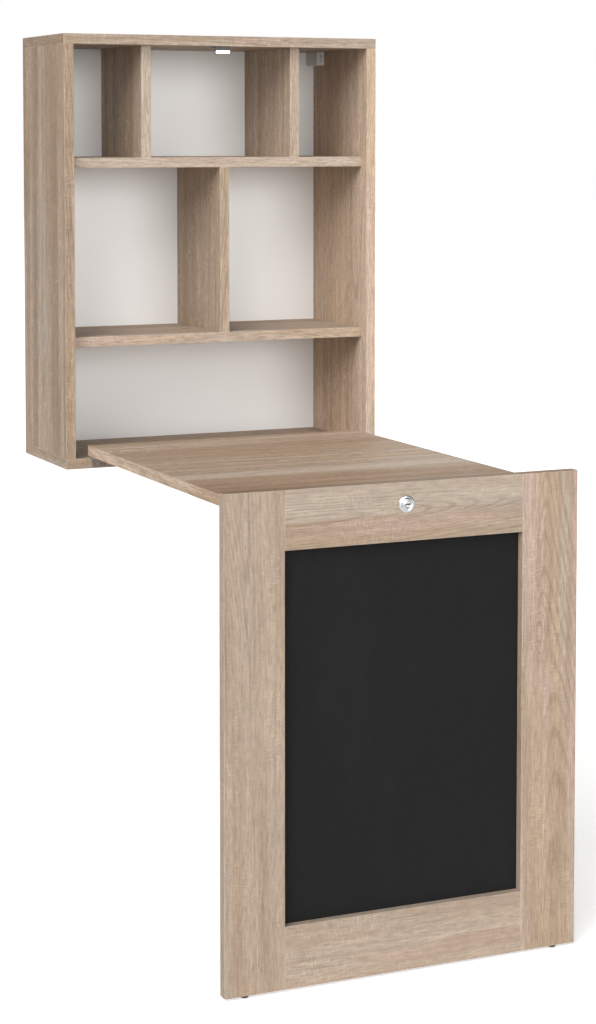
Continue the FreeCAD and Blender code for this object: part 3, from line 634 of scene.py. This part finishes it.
# %% Metal finishes
def metal(name, dark, light, rough, cloud=0.5, lines=(400, 400, 400), line_depth=0.15,
          cloud_size=500.0, metallic=1.0, keyway_shade_depths=None):
    """A metal between two colours; cloud says how much of the pattern is cloud, not lines."""
    made, tree, shader, where = new_finish(name)
    skin = place_group(tree, metal_skin, {"Place": where["Object"], "Lines": lines,
                                          "Cloud Size": cloud_size})
    mix = plus(tree, times(tree, skin["Cloud"], cloud),
               times(tree, skin["Lines"], 1.0 - cloud))
    color = tint(tree, spread(tree, mix, 0.25, 0.75), dark, light)
    color = tint(tree, times(tree, skin["Scratch"], 0.25), color, light)
    if keyway_shade_depths:                   # painted shade: darkens the metal between two depths, inside the keyway
        depth = split(tree, where["Object"])["Y"]
        keyway_shade = times(tree, spread(tree, depth, keyway_shade_depths[0], keyway_shade_depths[0] + 0.0009),
                     spread(tree, depth, keyway_shade_depths[1], keyway_shade_depths[1] + 0.002, 0.93, 0.0))
        color = tint(tree, keyway_shade, color, (0.020, 0.018, 0.016))
    uneven = times(tree, calc(tree, "SUBTRACT", skin["Cloud"], 0.5), 0.14)
    uneven = plus(tree, uneven, times(tree, skin["Scratch"], 0.08))
    rough = calc(tree, "ADD", rough, uneven, clamp=True)
    plug_in(tree, shader, color, rough, bump(tree, skin["Lines"], line_depth, 0.0002))
    shader["Metallic"].default_value = metallic
    return made


ZINC = metal("zinc_plate", (0.52, 0.53, 0.55), (0.70, 0.71, 0.72), 0.34)
HINGE_ZINC = metal("hinge_zinc", (0.56, 0.56, 0.57), (0.74, 0.74, 0.74), 0.30, cloud=0.35,
                   lines=(30, 900, 900), line_depth=0.25)
CHROME = metal("lock_chrome_plate", (0.80, 0.81, 0.83), (0.92, 0.92, 0.93), 0.14, cloud=0.8,
               line_depth=0.03, cloud_size=160)
# The plug's keyway is darkened with depth: painted shade, where shade falls inside it.
PLUG_STEEL = metal("lock_plug_face", (0.66, 0.66, 0.67), (0.84, 0.84, 0.85), 0.20,
                   lines=(900, 60, 900), line_depth=0.20, keyway_shade_depths=(-0.9644, -0.952))
LOCK_STEEL = metal("lock_plain_steel", (0.46, 0.46, 0.47), (0.64, 0.64, 0.64), 0.36,
                   lines=(900, 200, 60), line_depth=0.3)
CAST = metal("cam_die_cast", (0.36, 0.36, 0.37), (0.54, 0.54, 0.55), 0.48, cloud=0.8,
             cloud_size=900, line_depth=0.4)
# painted shade: the strike's web is nearly black, for the shade under the top panel
STRIKE_SHADE = metal("strike_painted_shade", (0.045, 0.040, 0.036), (0.085, 0.076, 0.068), 0.42,
                    cloud=0.7, cloud_size=1400, line_depth=0.5, metallic=0.0)
STRIKE_LIP = metal("strike_lip_bright", (0.78, 0.78, 0.78), (0.92, 0.92, 0.92), 0.22,
                   lines=(20, 900, 900), line_depth=0.1)
print("metals", [finish.name for finish in (ZINC, HINGE_ZINC, CHROME, PLUG_STEEL, LOCK_STEEL, CAST,
                                            STRIKE_SHADE, STRIKE_LIP)])

# %% [markdown]
# ## Moulded plastic and beech
#
# The hangers are moulded in white nylon with a fine spark-eroded texture; the glides under the
# stiles are dark.  The dowels are beech: pale, with short brown rays along the length.

# %% Plastic and beech
def moulded(name, low, high, rough, depth):
    """Plastic with a pebbled mould texture and a trace of flow in its colour."""
    made, tree, shader, where = new_finish(name)
    pebble = noise(tree, where["Object"], (1600, 1600, 1600), detail=2)
    flow = noise(tree, where["Object"], (60, 60, 25), detail=3, warp=0.8)
    uneven = spread(tree, pebble, 0.3, 0.7, rough - 0.06, rough + 0.08)
    plug_in(tree, shader, tint(tree, flow, low, high), uneven, bump(tree, pebble, depth, 0.0002), 0.4)
    return made


NYLON = moulded("hanger_nylon", (0.66, 0.655, 0.635), (0.74, 0.735, 0.715), 0.46, 0.25)
GLIDE = moulded("glide_moulding", (0.035, 0.026, 0.020), (0.060, 0.046, 0.036), 0.52, 0.4)

made, tree, shader, where = new_finish("dowel_beech_wood")
along = noise(tree, where["Object"], (900, 60, 900), detail=3)
ray = spread(tree, noise(tree, where["Object"], (1500, 260, 1500), detail=1), 0.60, 0.70)
beech = tint(tree, along, (0.62, 0.43, 0.26), (0.74, 0.55, 0.37))
beech = tint(tree, times(tree, ray, 0.6), beech, (0.40, 0.23, 0.12))
plug_in(tree, shader, beech, spread(tree, along, 0.3, 0.7, 0.55, 0.75),
        bump(tree, along, 0.3, 0.0003))
BEECH = made
print("plastics", NYLON.name, GLIDE.name, "wood", BEECH.name)

# %% [markdown]
# The pieces that keep the shape the CAD model gives them only need their finish: hinge leaves,
# bolts, hooks, the lock's cam, the strike and the dowels.

# %% Finishes for pieces that keep their shape
dress(HINGE_ZINC, *(n for n in nodes if "leaf" in n))
dress(ZINC, "shelf_cam_bolts", "hanger_hook_left", "hanger_hook_right")
dress(LOCK_STEEL, "lock_cam")
dress(STRIKE_SHADE, "strike_bracket")
dress(STRIKE_LIP, "strike_lip", "strike_rivets")
dress(BEECH, "carcass_dowels", "panel_dowels")
print("hinge leaves dressed", sum("leaf" in n for n in nodes))

# %% [markdown]
# ## Modelling turned pieces
#
# Screws, cams, glides and the lock are all turned, so they share one way of being made.  A
# filled circle is added, and its face is extruded and scaled once for each step of the
# profile, as by hand with E and S.  The last face closes the piece.
#
# Everything is deselected first, because an operator acts on all that is selected.  Each
# finished step is cleaned: doubled points are merged and all faces turned outward.

# %% Helpers for modelling
def only(piece):
    """Selects one piece alone and makes it the active one."""
    bpy.ops.object.select_all(action="DESELECT")
    piece.select_set(True)
    bpy.context.view_layer.objects.active = piece


def settle(piece):
    """Puts the object's place, turn and scale into its mesh."""
    only(piece)
    bpy.ops.object.transform_apply(location=True, rotation=True, scale=True)


def clean(piece, smooth=35):
    """Closes the seams, turns all faces outward and shades the round ones smooth."""
    only(piece)
    bpy.ops.object.mode_set(mode="EDIT")
    bpy.ops.mesh.select_all(action="SELECT")
    bpy.ops.mesh.remove_doubles(threshold=0.000004)
    bpy.ops.mesh.normals_make_consistent(inside=False)
    bpy.ops.object.mode_set(mode="OBJECT")
    bpy.ops.object.shade_smooth_by_angle(angle=math.radians(smooth))


# %% [markdown]
# A turned piece grows from its first disc, step by step.  A ring with a hollow middle is spun
# instead: its closed section is laid out in the plane of the axis and turned round it.

# %% Turned and spun pieces
def turned_piece(name, profile, sides=32):
    """Makes a piece along +Z from its (radius, height) steps in mm, first disc to last."""
    (radius, height), *steps = profile
    bpy.ops.mesh.primitive_circle_add(vertices=sides, radius=radius * MM, fill_type="NGON",
                                      location=(0, 0, height * MM))
    piece = bpy.context.object
    piece.name = name
    settle(piece)
    bpy.ops.object.mode_set(mode="EDIT")
    bpy.ops.mesh.select_all(action="SELECT")
    for new_radius, new_height in steps:
        bpy.ops.mesh.extrude_region_move(
            TRANSFORM_OT_translate={"value": (0, 0, (new_height - height) * MM)})
        by = new_radius / radius
        bpy.ops.transform.resize(value=(by, by, 1), center_override=(0, 0, new_height * MM))
        radius, height = new_radius, new_height
    bpy.ops.object.mode_set(mode="OBJECT")
    clean(piece)
    return piece


def spun_ring(name, section, steps=48):
    """Spins a closed section of (radius, height) corners in mm round Z."""
    bpy.ops.object.select_all(action="DESELECT")
    bpy.ops.mesh.primitive_circle_add(vertices=len(section), radius=MM, fill_type="NOTHING")
    piece = bpy.context.object
    piece.name = name
    for corner, (radius, height) in zip(piece.data.vertices, section):
        corner.co = (radius * MM, 0, height * MM)
    bpy.ops.object.mode_set(mode="EDIT")
    bpy.ops.mesh.select_all(action="SELECT")
    bpy.ops.mesh.spin(steps=steps, angle=2 * math.pi, center=(0, 0, 0), axis=(0, 0, 1))
    bpy.ops.object.mode_set(mode="OBJECT")
    clean(piece)
    return piece


# %% [markdown]
# What isn't round is a plain bar, and bars and prisms also serve as cutters.  A bevel breaks
# the sharp edges, because no real edge is sharp, and only a broken edge catches the light.

# %% Bars, cuts and bevels
def bar(name, size, at):
    """A plain bar of a size and place in mm, as a start or as a cutter."""
    bpy.ops.mesh.primitive_cube_add(size=1, location=Vector(at) * MM, scale=Vector(size) * MM)
    made = bpy.context.object
    made.name = name
    settle(made)
    return made


def carve(piece, *others, way="DIFFERENCE"):
    """Cuts other solids out of a piece, or joins them to it, or keeps what they share."""
    for other in others:
        cut = piece.modifiers.new("cut", "BOOLEAN")
        cut.operation = way
        cut.solver = "EXACT"
        cut.object = other
        only(piece)
        bpy.ops.object.modifier_apply(modifier=cut.name)
        bpy.data.objects.remove(other)
    clean(piece)
    return piece


def pick(piece, test):
    """Selects the faces of the piece being edited by their middle, in mm, and their normal."""
    shape = bmesh.from_edit_mesh(piece.data)
    for face in shape.faces:
        face.select_set(bool(test(face.calc_center_median() / MM, face.normal)))
    bmesh.update_edit_mesh(piece.data)


def soften(piece, width, segments=2, angle=40):
    """Bevels the sharp edges of a piece."""
    only(piece)
    rounded = piece.modifiers.new("soften", "BEVEL")
    rounded.width = width * MM
    rounded.segments = segments
    rounded.limit_method = "ANGLE"
    rounded.angle_limit = math.radians(angle)
    bpy.ops.object.modifier_apply(modifier=rounded.name)
    clean(piece)
    return piece


# %% [markdown]
# A model is made once, along the upright axis.  Copies of it are set in place, and the copies
# that stand for one CAD node are joined into one piece, which rides on that node's body.

# %% Copies in place
SLACK = 0.0005                           # metres outside its CAD box before a piece is reported


def stand(model, name, at, along, spin=0.0):
    """Sets a copy of a model, made along +Z, at a place in mm so that it runs along a line."""
    copy = model.copy()
    copy.data = model.data.copy()
    copy.name = name
    bpy.context.scene.collection.objects.link(copy)
    turn = Vector(along).to_track_quat("Z", "X").to_matrix() @ Matrix.Rotation(spin, 3, "Z")
    copy.matrix_world = Matrix.Translation(Vector(at) * MM) @ turn.to_4x4()
    settle(copy)
    return copy


def gather(name, parts, body, node, material):
    """Joins copies into one piece that stands for a CAD node."""
    only(parts[0])
    for part in parts:
        part.select_set(True)
    if len(parts) > 1:
        bpy.ops.object.join()
    piece = bpy.context.object
    piece.name = name
    piece.data.name = name
    piece.data.materials.clear()
    piece.data.materials.append(material)
    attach(piece, body)
    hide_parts(node)
    low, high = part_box(node)
    inside = all(low[i] - SLACK <= c[i] <= high[i] + SLACK
                 for c in (v.co for v in piece.data.vertices) for i in range(3))
    print(name, len(piece.data.polygons), "faces", "" if inside else "LEAVES THE CAD BOX")
    return piece


def put_away(*models):
    """Removes the models that only the copies were made from."""
    for model in models:
        bpy.data.objects.remove(model)


# %% [markdown]
# ## Countersunk screws
#
# The hinge screws are small wood screws with a countersunk head and a cross recess.  One is
# modelled for each length: a flat head with a rolled rim, the cone under it, then a shank
# whose thread is a row of sharp-crested rings that taper to the point.  The recess is cut with
# a tapered cross.  The bores in the CAD model have flat sides, so the round screw stays a
# hair inside them.

# %% Countersunk screws
def cross_cutter(reach, width, depth):
    """Two crossed bars that narrow downward, to cut a cross recess."""
    arms = []
    for turn in (0, math.pi / 2):
        arm = bar("arm", (reach, width, depth * 2), (0, 0, 0))
        bpy.ops.object.mode_set(mode="EDIT")
        bpy.ops.mesh.select_all(action="DESELECT")
        pick(arm, lambda middle, normal: normal.z > 0.9)
        bpy.ops.transform.resize(value=(0.35, 0.5, 1), center_override=(0, 0, depth * MM))
        bpy.ops.object.mode_set(mode="OBJECT")
        arm.rotation_euler.z = turn
        settle(arm)
        arms.append(arm)
    return arms


def wood_screw(name, length, head=2.66, shank=1.38, pitch=1.1):
    """A countersunk screw along +Z from its head, with all sizes in mm."""
    profile = [(head - 0.14, 0.03), (head, 0.14), (head - 0.02, 0.24), (shank, 1.30)]
    height = 1.8
    while height + pitch < length - 2.2:
        profile += [(shank * 0.74, height), (shank, height + 0.45 * pitch),
                    (shank, height + 0.55 * pitch)]
        height += pitch
    profile += [(shank * 0.72, height), (shank * 0.8, length - 1.8), (0.12, length - 0.05)]
    screw = turned_piece(name, profile, sides=20)
    return carve(screw, *cross_cutter(3.3, 0.72, 1.1))


# %% [markdown]
# Three lengths are made, and each stands in its row: three screws to a leaf, eight round the
# blackboard, and two in the strike.  Every copy is turned a little differently, as screws are.

# %% Rows of screws
TOP_HINGE_X, LEG_HINGE_X = 224, 165      # middle of each hinge, in mm from the desk's middle
TOP_AXIS, LEG_AXIS = (-241.2, -360.2), (-938.8, -360.6)         # y and z of the hinge pins
PANEL_BACK = -942.4                      # y of the leg panel's back face
LEAF_ROW = (-20, 0, 20)                  # the screws of one leaf
STILE_SCREWS, RAIL_SCREWS = (207, (-467.9, -923.1)), (101, (-406, -985))      # x, and their z
STRIKE_SCREW_X = 8.0

long_screw = wood_screw("long_screw", 22.0)
short_screw = wood_screw("short_screw", 14.0)
board_screw = wood_screw("board_screw", 13.0)

screw_rows = {
    "top_hinge_box_screws": ("carcass", long_screw, TOP_HINGE_X, (-239.2, -370.2), (0, 1, 0)),
    "top_hinge_top_screws": ("writing_top", short_screw, TOP_HINGE_X, (-251.2, -358.2), (0, 0, 1)),
    "leg_hinge_top_screws": ("writing_top", short_screw, LEG_HINGE_X, (-928.8, -358.2), (0, 0, 1)),
    "leg_hinge_panel_screws": ("leg_panel", short_screw, LEG_HINGE_X, (-941.2, -370.6), (0, -1, 0)),
}
for node, (body, model, middle, (y, z), along) in screw_rows.items():
    row = [stand(model, node, (side * middle + x, y, z), along, spin=0.5 * x + side)
           for side in (-1, 1) for x in LEAF_ROW]
    gather(node + "_turned", row, body, node, ZINC)

seats = [(side * x, z) for x, heights in (STILE_SCREWS, RAIL_SCREWS)
         for side in (-1, 1) for z in heights]
row = [stand(board_screw, "board_screw_copy", (x, PANEL_BACK, z), (0, -1, 0), spin=x)
       for x, z in seats]
gather("blackboard_screws_turned", row, "leg_panel", "blackboard_screws", ZINC)

low, high = (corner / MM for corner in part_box("strike_screws"))
row = [stand(short_screw, "strike_screw", (side * STRIKE_SCREW_X, (low.y + high.y) / 2, low.z),
             (0, 0, 1), spin=side) for side in (-1, 1)]
gather("strike_screws_turned", row, "carcass", "strike_screws", ZINC)
put_away(long_screw, short_screw, board_screw)

# %% [markdown]
# ## Screws through the top and bottom
#
# Chipboard is pulled together with thick screws that have a smooth neck, a coarse thread and a
# hexagon socket.  The socket is cut with a six-sided prism.

# %% Carcass screws
SIDE_X, BOX_TOP = 291, 380               # middle of a side's thickness, and half the box's height
CARCASS_SCREW_Y = (-196, -73)
SOCKET = 2.0 / math.cos(math.pi / 6)     # from the middle of a 4 mm hexagon to its corners
SOCKET_DEPTH = 3.2

profile = [(3.85, 0.12), (4.08, 0.30), (4.08, 0.75), (2.95, 2.6), (2.55, 3.2), (2.55, 11.0)]
height = 11.5
while height < 45.0:
    profile += [(1.85, height), (2.55, height + 1.1), (2.55, height + 1.35)]
    height += 3.0
profile += [(1.9, height), (1.6, 47.5), (0.5, 49.9)]
socket = turned_piece("socket", [(SOCKET, -SOCKET_DEPTH), (SOCKET, SOCKET_DEPTH)], sides=6)
carcass_screw = carve(turned_piece("carcass_screw", profile, sides=24), socket)
row = [stand(carcass_screw, "carcass_screw_copy", (x, y, z), (0, 0, -1 if z > 0 else 1), spin=y)
       for x in (-SIDE_X, SIDE_X) for y in CARCASS_SCREW_Y for z in (BOX_TOP, -BOX_TOP)]
gather("carcass_screws_turned", row, "carcass", "carcass_screws", ZINC)
put_away(carcass_screw)

# %% [markdown]
# ## Nails in the back
#
# The back is held by short nails.  Their round, slightly domed heads were pinched out of the
# wire, with the grip marks of the machine just below.

# %% Back nails
nail = turned_piece("nail", [(1.0, 0.06), (1.55, 0.12), (1.86, 0.30), (1.86, 0.62), (1.2, 0.95),
                             (0.78, 1.3), (0.70, 1.7), (0.78, 2.0), (0.70, 2.3), (0.78, 2.6),
                             (0.78, 16.2), (0.12, 17.95)], sides=20)
NAIL_ROWS = ((SIDE_X, (-228, 228)), (150, (371, -371)), (120, (-159.5, 155.5)))  # x, and their z
places = [(side * x, z) for x, heights in NAIL_ROWS for side in (-1, 1) for z in heights]
row = [stand(nail, "nail_copy", (x, 0, z), (0, -1, 0)) for x, z in places]
gather("back_nails_turned", row, "carcass", "back_nails", ZINC)
put_away(nail)

# %% [markdown]
# ## Cams under the shelves
#
# Each shelf end hangs on two cams, which grip the heads of bolts in the sides.  A cam is a
# die-cast drum that is set from below, with a cross recess, a raised rim and an opening on its
# side for the bolt.

# %% Shelf cams
drum = turned_piece("cam_drum", [(6.2, 0.55), (6.35, 0.25), (6.75, 0.25), (6.9, 0.45),
                                 (6.9, 11.8), (6.5, 12.3), (3.0, 12.3)], sides=40)
mouth = bar("mouth", (9, 6.6, 6.6), (5.5, 0, 9.0))
arrow = bar("arrow", (1.6, 0.7, 1.2), (4.6, 0, 0.55))
shelf_cam = carve(drum, mouth, arrow, *cross_cutter(6.4, 1.15, 2.6))
shelf_cam = soften(shelf_cam, 0.12, segments=1)
CAM_X, CAM_Y = 258, (-179, -40)
CAM_Z = (-168.5, 146.5)                  # the undersides of the shelves
row = [stand(shelf_cam, "cam_copy", (x, y, z), (0, 0, 1), spin=0 if x > 0 else math.pi)
       for x in (-CAM_X, CAM_X) for y in CAM_Y for z in CAM_Z]
gather("shelf_cams_cast", row, "carcass", "shelf_cams", CAST)
put_away(shelf_cam)

# %% [markdown]
# ## Hinge pins
#
# A pin is cut from wire and its ends are rounded over, so that it can't slide out of the
# knuckles.

# %% Hinge pins
PIN_LENGTH = 60.6
pin = turned_piece("pin", [(0.55, 0.0), (0.95, 0.08), (1.16, 0.3), (1.19, 0.6), (1.19, 60.0),
                           (1.16, 60.3), (0.95, 60.52), (0.55, PIN_LENGTH)], sides=24)
for node, body, middle, axis in (("top_hinge_pins", "carcass", TOP_HINGE_X, TOP_AXIS),
                                 ("leg_hinge_pins", "writing_top", LEG_HINGE_X, LEG_AXIS)):
    row = [stand(pin, "pin_copy", (side * middle - PIN_LENGTH / 2, *axis), (1, 0, 0))
           for side in (-1, 1)]
    gather(node + "_turned", row, body, node, ZINC)
put_away(pin)

# %% [markdown]
# ## Glides
#
# The leg stands on two hard pads, nailed into the ends of its stiles.  A pad has a rounded
# foot and a flange against the wood.

# %% Glides
pad = turned_piece("pad", [(2.2, -5.0), (4.0, -4.85), (5.2, -4.3), (5.9, -3.3), (6.05, -1.6),
                           (6.4, -1.3), (6.5, -1.0), (6.5, -0.02), (0.88, -0.02), (0.88, 13.0),
                           (0.15, 13.95)], sides=40)
STILE_X, STILE_Y, STILE_FOOT = 264.5, -951.4, -1076        # middle and lower end of a stile
row = [stand(pad, "pad_copy", (x, STILE_Y, STILE_FOOT), (0, 0, 1)) for x in (-STILE_X, STILE_X)]
gather("glides_moulded", row, "leg_panel", "glides", GLIDE)
put_away(pad)

# %% [markdown]
# ## The lock
#
# A cam lock sits in the leg panel.  From the front: a domed rosette lies on the wood, the
# barrel's round head stands in a groove of it and clamps it, and the plug with the keyway lies
# a little inside the head's rim.  Behind the panel a nut holds the barrel by its thread, and
# the plug's neck carries the cam.
#
# Rings are best spun: a closed outline is turned once round the axis.  The outline of the
# barrel has the thread in it as a zigzag, only where it shows behind the panel.  Heights count
# from the panel's front face, outward.

# %% Rosette and barrel
PANEL_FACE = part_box("panel_stile_left")[0].y / MM
LOCK_Z = (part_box("lock_rosette")[0].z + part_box("lock_rosette")[1].z) / 2 / MM
LOCK_AT, LOCK_OUT = (0, PANEL_FACE, LOCK_Z), (0, -1, 0)

rosette = spun_ring("rosette", [(8.05, 0.02), (13.05, 0.02), (13.16, 0.25), (13.08, 0.60),
                                (12.75, 0.95), (12.1, 1.25), (11.3, 1.46), (10.7, 1.55),
                                (10.2, 1.56), (9.8, 1.46), (9.4, 1.12), (9.0, 0.86),
                                (8.6, 0.78), (8.05, 0.78)], steps=64)
rosette = stand(rosette, "rosette_placed", LOCK_AT, LOCK_OUT)
gather("lock_rosette_spun", [rosette], "leg_panel", "lock_rosette", CHROME)

outline = [(5.60, -27.9), (7.4, -27.9), (7.7, -27.6)]
thread = -27.2
while thread < -17.5:
    outline += [(7.95, thread), (7.95, thread + 0.12), (7.42, thread + 0.56)]
    thread += 1.0
outline += [(7.95, thread), (7.95, 0.82), (8.35, 0.82), (8.54, 0.95), (8.58, 1.20), (8.58, 4.45),
            (8.52, 4.80), (8.32, 5.12), (8.02, 5.32), (7.62, 5.39), (6.95, 5.39), (6.55, 5.30),
            (6.20, 5.05), (5.72, 4.52), (5.60, 4.30)]
barrel = stand(spun_ring("barrel", outline, steps=64), "barrel_placed", LOCK_AT, LOCK_OUT)
gather("lock_barrel_spun", [barrel], "leg_panel", "lock_barrel", CHROME)
put_away(*(bpy.data.objects[name] for name in ("rosette", "barrel")))

# %% [markdown]
# ## Plug, cam screw and nut
#
# The plug is turned from the cam's end to its face, where its rim is rounded and a shallow
# dish leads the key in.  The square that the cam sits on is joined to the neck, and then the
# keyway is cut.  The nut is what a hexagon and a cone share, which leaves the curved corners
# that every nut has.

# %% Plug, cam screw and nut
plug = turned_piece("plug", [(3.6, -35.55), (3.9, -35.3), (3.9, -28.2), (5.1, -28.0), (5.45, -27.6),
                             (5.45, 4.30), (5.38, 4.52), (5.15, 4.66), (4.75, 4.66),
                             (4.55, 4.50)], sides=64)
plug_at = stand(plug, "plug_placed", LOCK_AT, LOCK_OUT)
square = bar("square", (5.0, 3.4, 5.0), (0, PANEL_FACE + 35.9, LOCK_Z))
plug_at = carve(plug_at, square, way="UNION")
keyway = bar("keyway", (8.3, 16, 1.6), (0, PANEL_FACE - 4.9, LOCK_Z))
ward = bar("ward", (2.2, 16, 2.3), (2.6, PANEL_FACE - 4.9, LOCK_Z + 0.3))
bore = bar("bore", (2.1, 12, 2.1), (0, PANEL_FACE + 36, LOCK_Z))
plug_at = soften(carve(plug_at, keyway, ward, bore), 0.10, segments=1)
gather("lock_plug_turned", [plug_at], "lock", "lock_plug", PLUG_STEEL)

cam_screw = turned_piece("cam_screw", [(2.2, 0.0), (2.9, 0.15), (3.4, 0.6), (3.66, 1.25),
                                       (3.66, 2.13), (1.4, 2.13), (1.4, 9.75), (0.9, 11.05)])
cam_screw = carve(cam_screw, *cross_cutter(3.4, 0.8, 1.1))
cam_screw_at = stand(cam_screw, "cam_screw_placed", (0, PANEL_FACE + 39.75, LOCK_Z), (0, -1, 0))
gather("lock_cam_screw_turned", [cam_screw_at], "lock", "lock_cam_screw", ZINC)

nut = turned_piece("nut", [(12.7, 0.02), (12.7, 3.98)], sides=6)
nut_cone = turned_piece("nut_cone", [(11.0, 0.0), (12.9, 1.1), (12.9, 2.9), (11.0, 4.0)], sides=64)
nut = carve(nut, nut_cone, way="INTERSECT")
nut = carve(nut, turned_piece("nut_bore", [(8.08, -1), (8.08, 5)], sides=64))
nut_at = stand(nut, "nut_placed", (0, PANEL_FACE + 18, LOCK_Z), (0, 1, 0))
gather("lock_nut_cut", [nut_at], "leg_panel", "lock_nut", LOCK_STEEL)
put_away(plug, cam_screw, nut)

# %% [markdown]
# ## Hangers
#
# Two moulded hangers sit in the upper corners.  Each is a nylon block over a steel hook, with a
# short skirt along its inner edge.  The block starts as a bar; its lower face is bisected
# where the skirt begins, and only that strip is extruded down.  The front end is inset and
# pushed in a little, as the mould's cover plate is, and round wells are cut for the screws.

# %% Hanger blocks
BLOCK_X, BLOCK_Y, BLOCK_Z = (266.8, 282.0), (-52.0, -3.0), (336.6, 362.0)
SKIRT_X, SKIRT_Y, SKIRT_DROP = 272.8, (-48.0, -7.0), 4.95
HAIR = 0.1                               # the block stays this much smaller than its bounds
FIX_AT = [(-11.0, 340.8), (-44.0, 340.8)]          # y and z of the fixing screws
ADJUST_AT = [(274.4, 345.7), (274.4, 353.7)]       # x and z of the adjusting screws
COVER_LINE = -40.0                       # y of the groove where the cover ends


def hanger(side):
    """Moulds the block of one hanger, side -1 on the left and 1 on the right."""
    middle = [(a + b) / 2 for a, b in (BLOCK_X, BLOCK_Y, BLOCK_Z)]
    size = [b - a - HAIR for a, b in (BLOCK_X, BLOCK_Y, BLOCK_Z)]
    block = bar("hanger", size, (side * middle[0], middle[1], middle[2]))
    bpy.ops.object.mode_set(mode="EDIT")
    for at, facing in (((side * SKIRT_X, 0, 0), (1, 0, 0)), ((0, SKIRT_Y[0], 0), (0, 1, 0)),
                       ((0, SKIRT_Y[1], 0), (0, 1, 0))):
        bpy.ops.mesh.select_all(action="SELECT")
        bpy.ops.mesh.bisect(plane_co=Vector(at) * MM, plane_no=facing)
    pick(block, lambda c, n: n.z < -0.9 and abs(c.x) < SKIRT_X and SKIRT_Y[0] < c.y < SKIRT_Y[1])
    bpy.ops.mesh.extrude_region_move(TRANSFORM_OT_translate={"value": (0, 0, -SKIRT_DROP * MM)})
    pick(block, lambda c, n: n.y < -0.9 and c.y < -51)
    bpy.ops.mesh.inset(thickness=1.1 * MM, depth=0, use_even_offset=True)
    bpy.ops.mesh.extrude_region_move(TRANSFORM_OT_translate={"value": (0, 0.45 * MM, 0)})
    bpy.ops.object.mode_set(mode="OBJECT")
    block = soften(block, 0.9, segments=3, angle=60)
    wells = [(2.72, 2.6, (side * x, BLOCK_Y[0], z), (0, 1, 0)) for x, z in ADJUST_AT]
    wells += [(3.50, 1.9, (side * BLOCK_X[0], y, z), (side, 0, 0)) for y, z in FIX_AT]
    cutters = []
    for radius, deep, at, along in wells:
        well = turned_piece("well", [(radius, -2.0), (radius, deep)])
        cutters.append(stand(well, "well_cut", at, along))
        put_away(well)
    groove = bar("groove", (0.7, 0.6, 30), (side * BLOCK_X[0], COVER_LINE, 349))
    return carve(block, *cutters, groove)


# %% [markdown]
# Two screws fix each hanger to its side from within, and two long ones in its front end raise
# the box and draw it to the wall.

# %% Hangers and their screws
for side, word in ((-1, "left"), (1, "right")):
    gather("hanger_housing_" + word + "_moulded", [hanger(side)], "carcass",
           "hanger_housing_" + word, NYLON)

fixing = wood_screw("fixing", 26.0, head=3.30, shank=1.80, pitch=1.6)
row = [stand(fixing, "fixing_copy", (side * BLOCK_X[0], y, z), (side, 0, 0), spin=y)
       for side in (-1, 1) for y, z in FIX_AT]
gather("hanger_fixing_screws_turned", row, "carcass", "hanger_fixing_screws", ZINC)
adjuster = wood_screw("adjuster", 20.9, head=2.50, shank=1.42, pitch=0.9)
row = [stand(adjuster, "adjuster_copy", (side * x, BLOCK_Y[0], z), (0, 1, 0), spin=z)
       for side in (-1, 1) for x, z in ADJUST_AT]
gather("hanger_adjusting_screws_turned", row, "carcass", "hanger_adjusting_screws",
       ZINC)
put_away(fixing, adjuster)
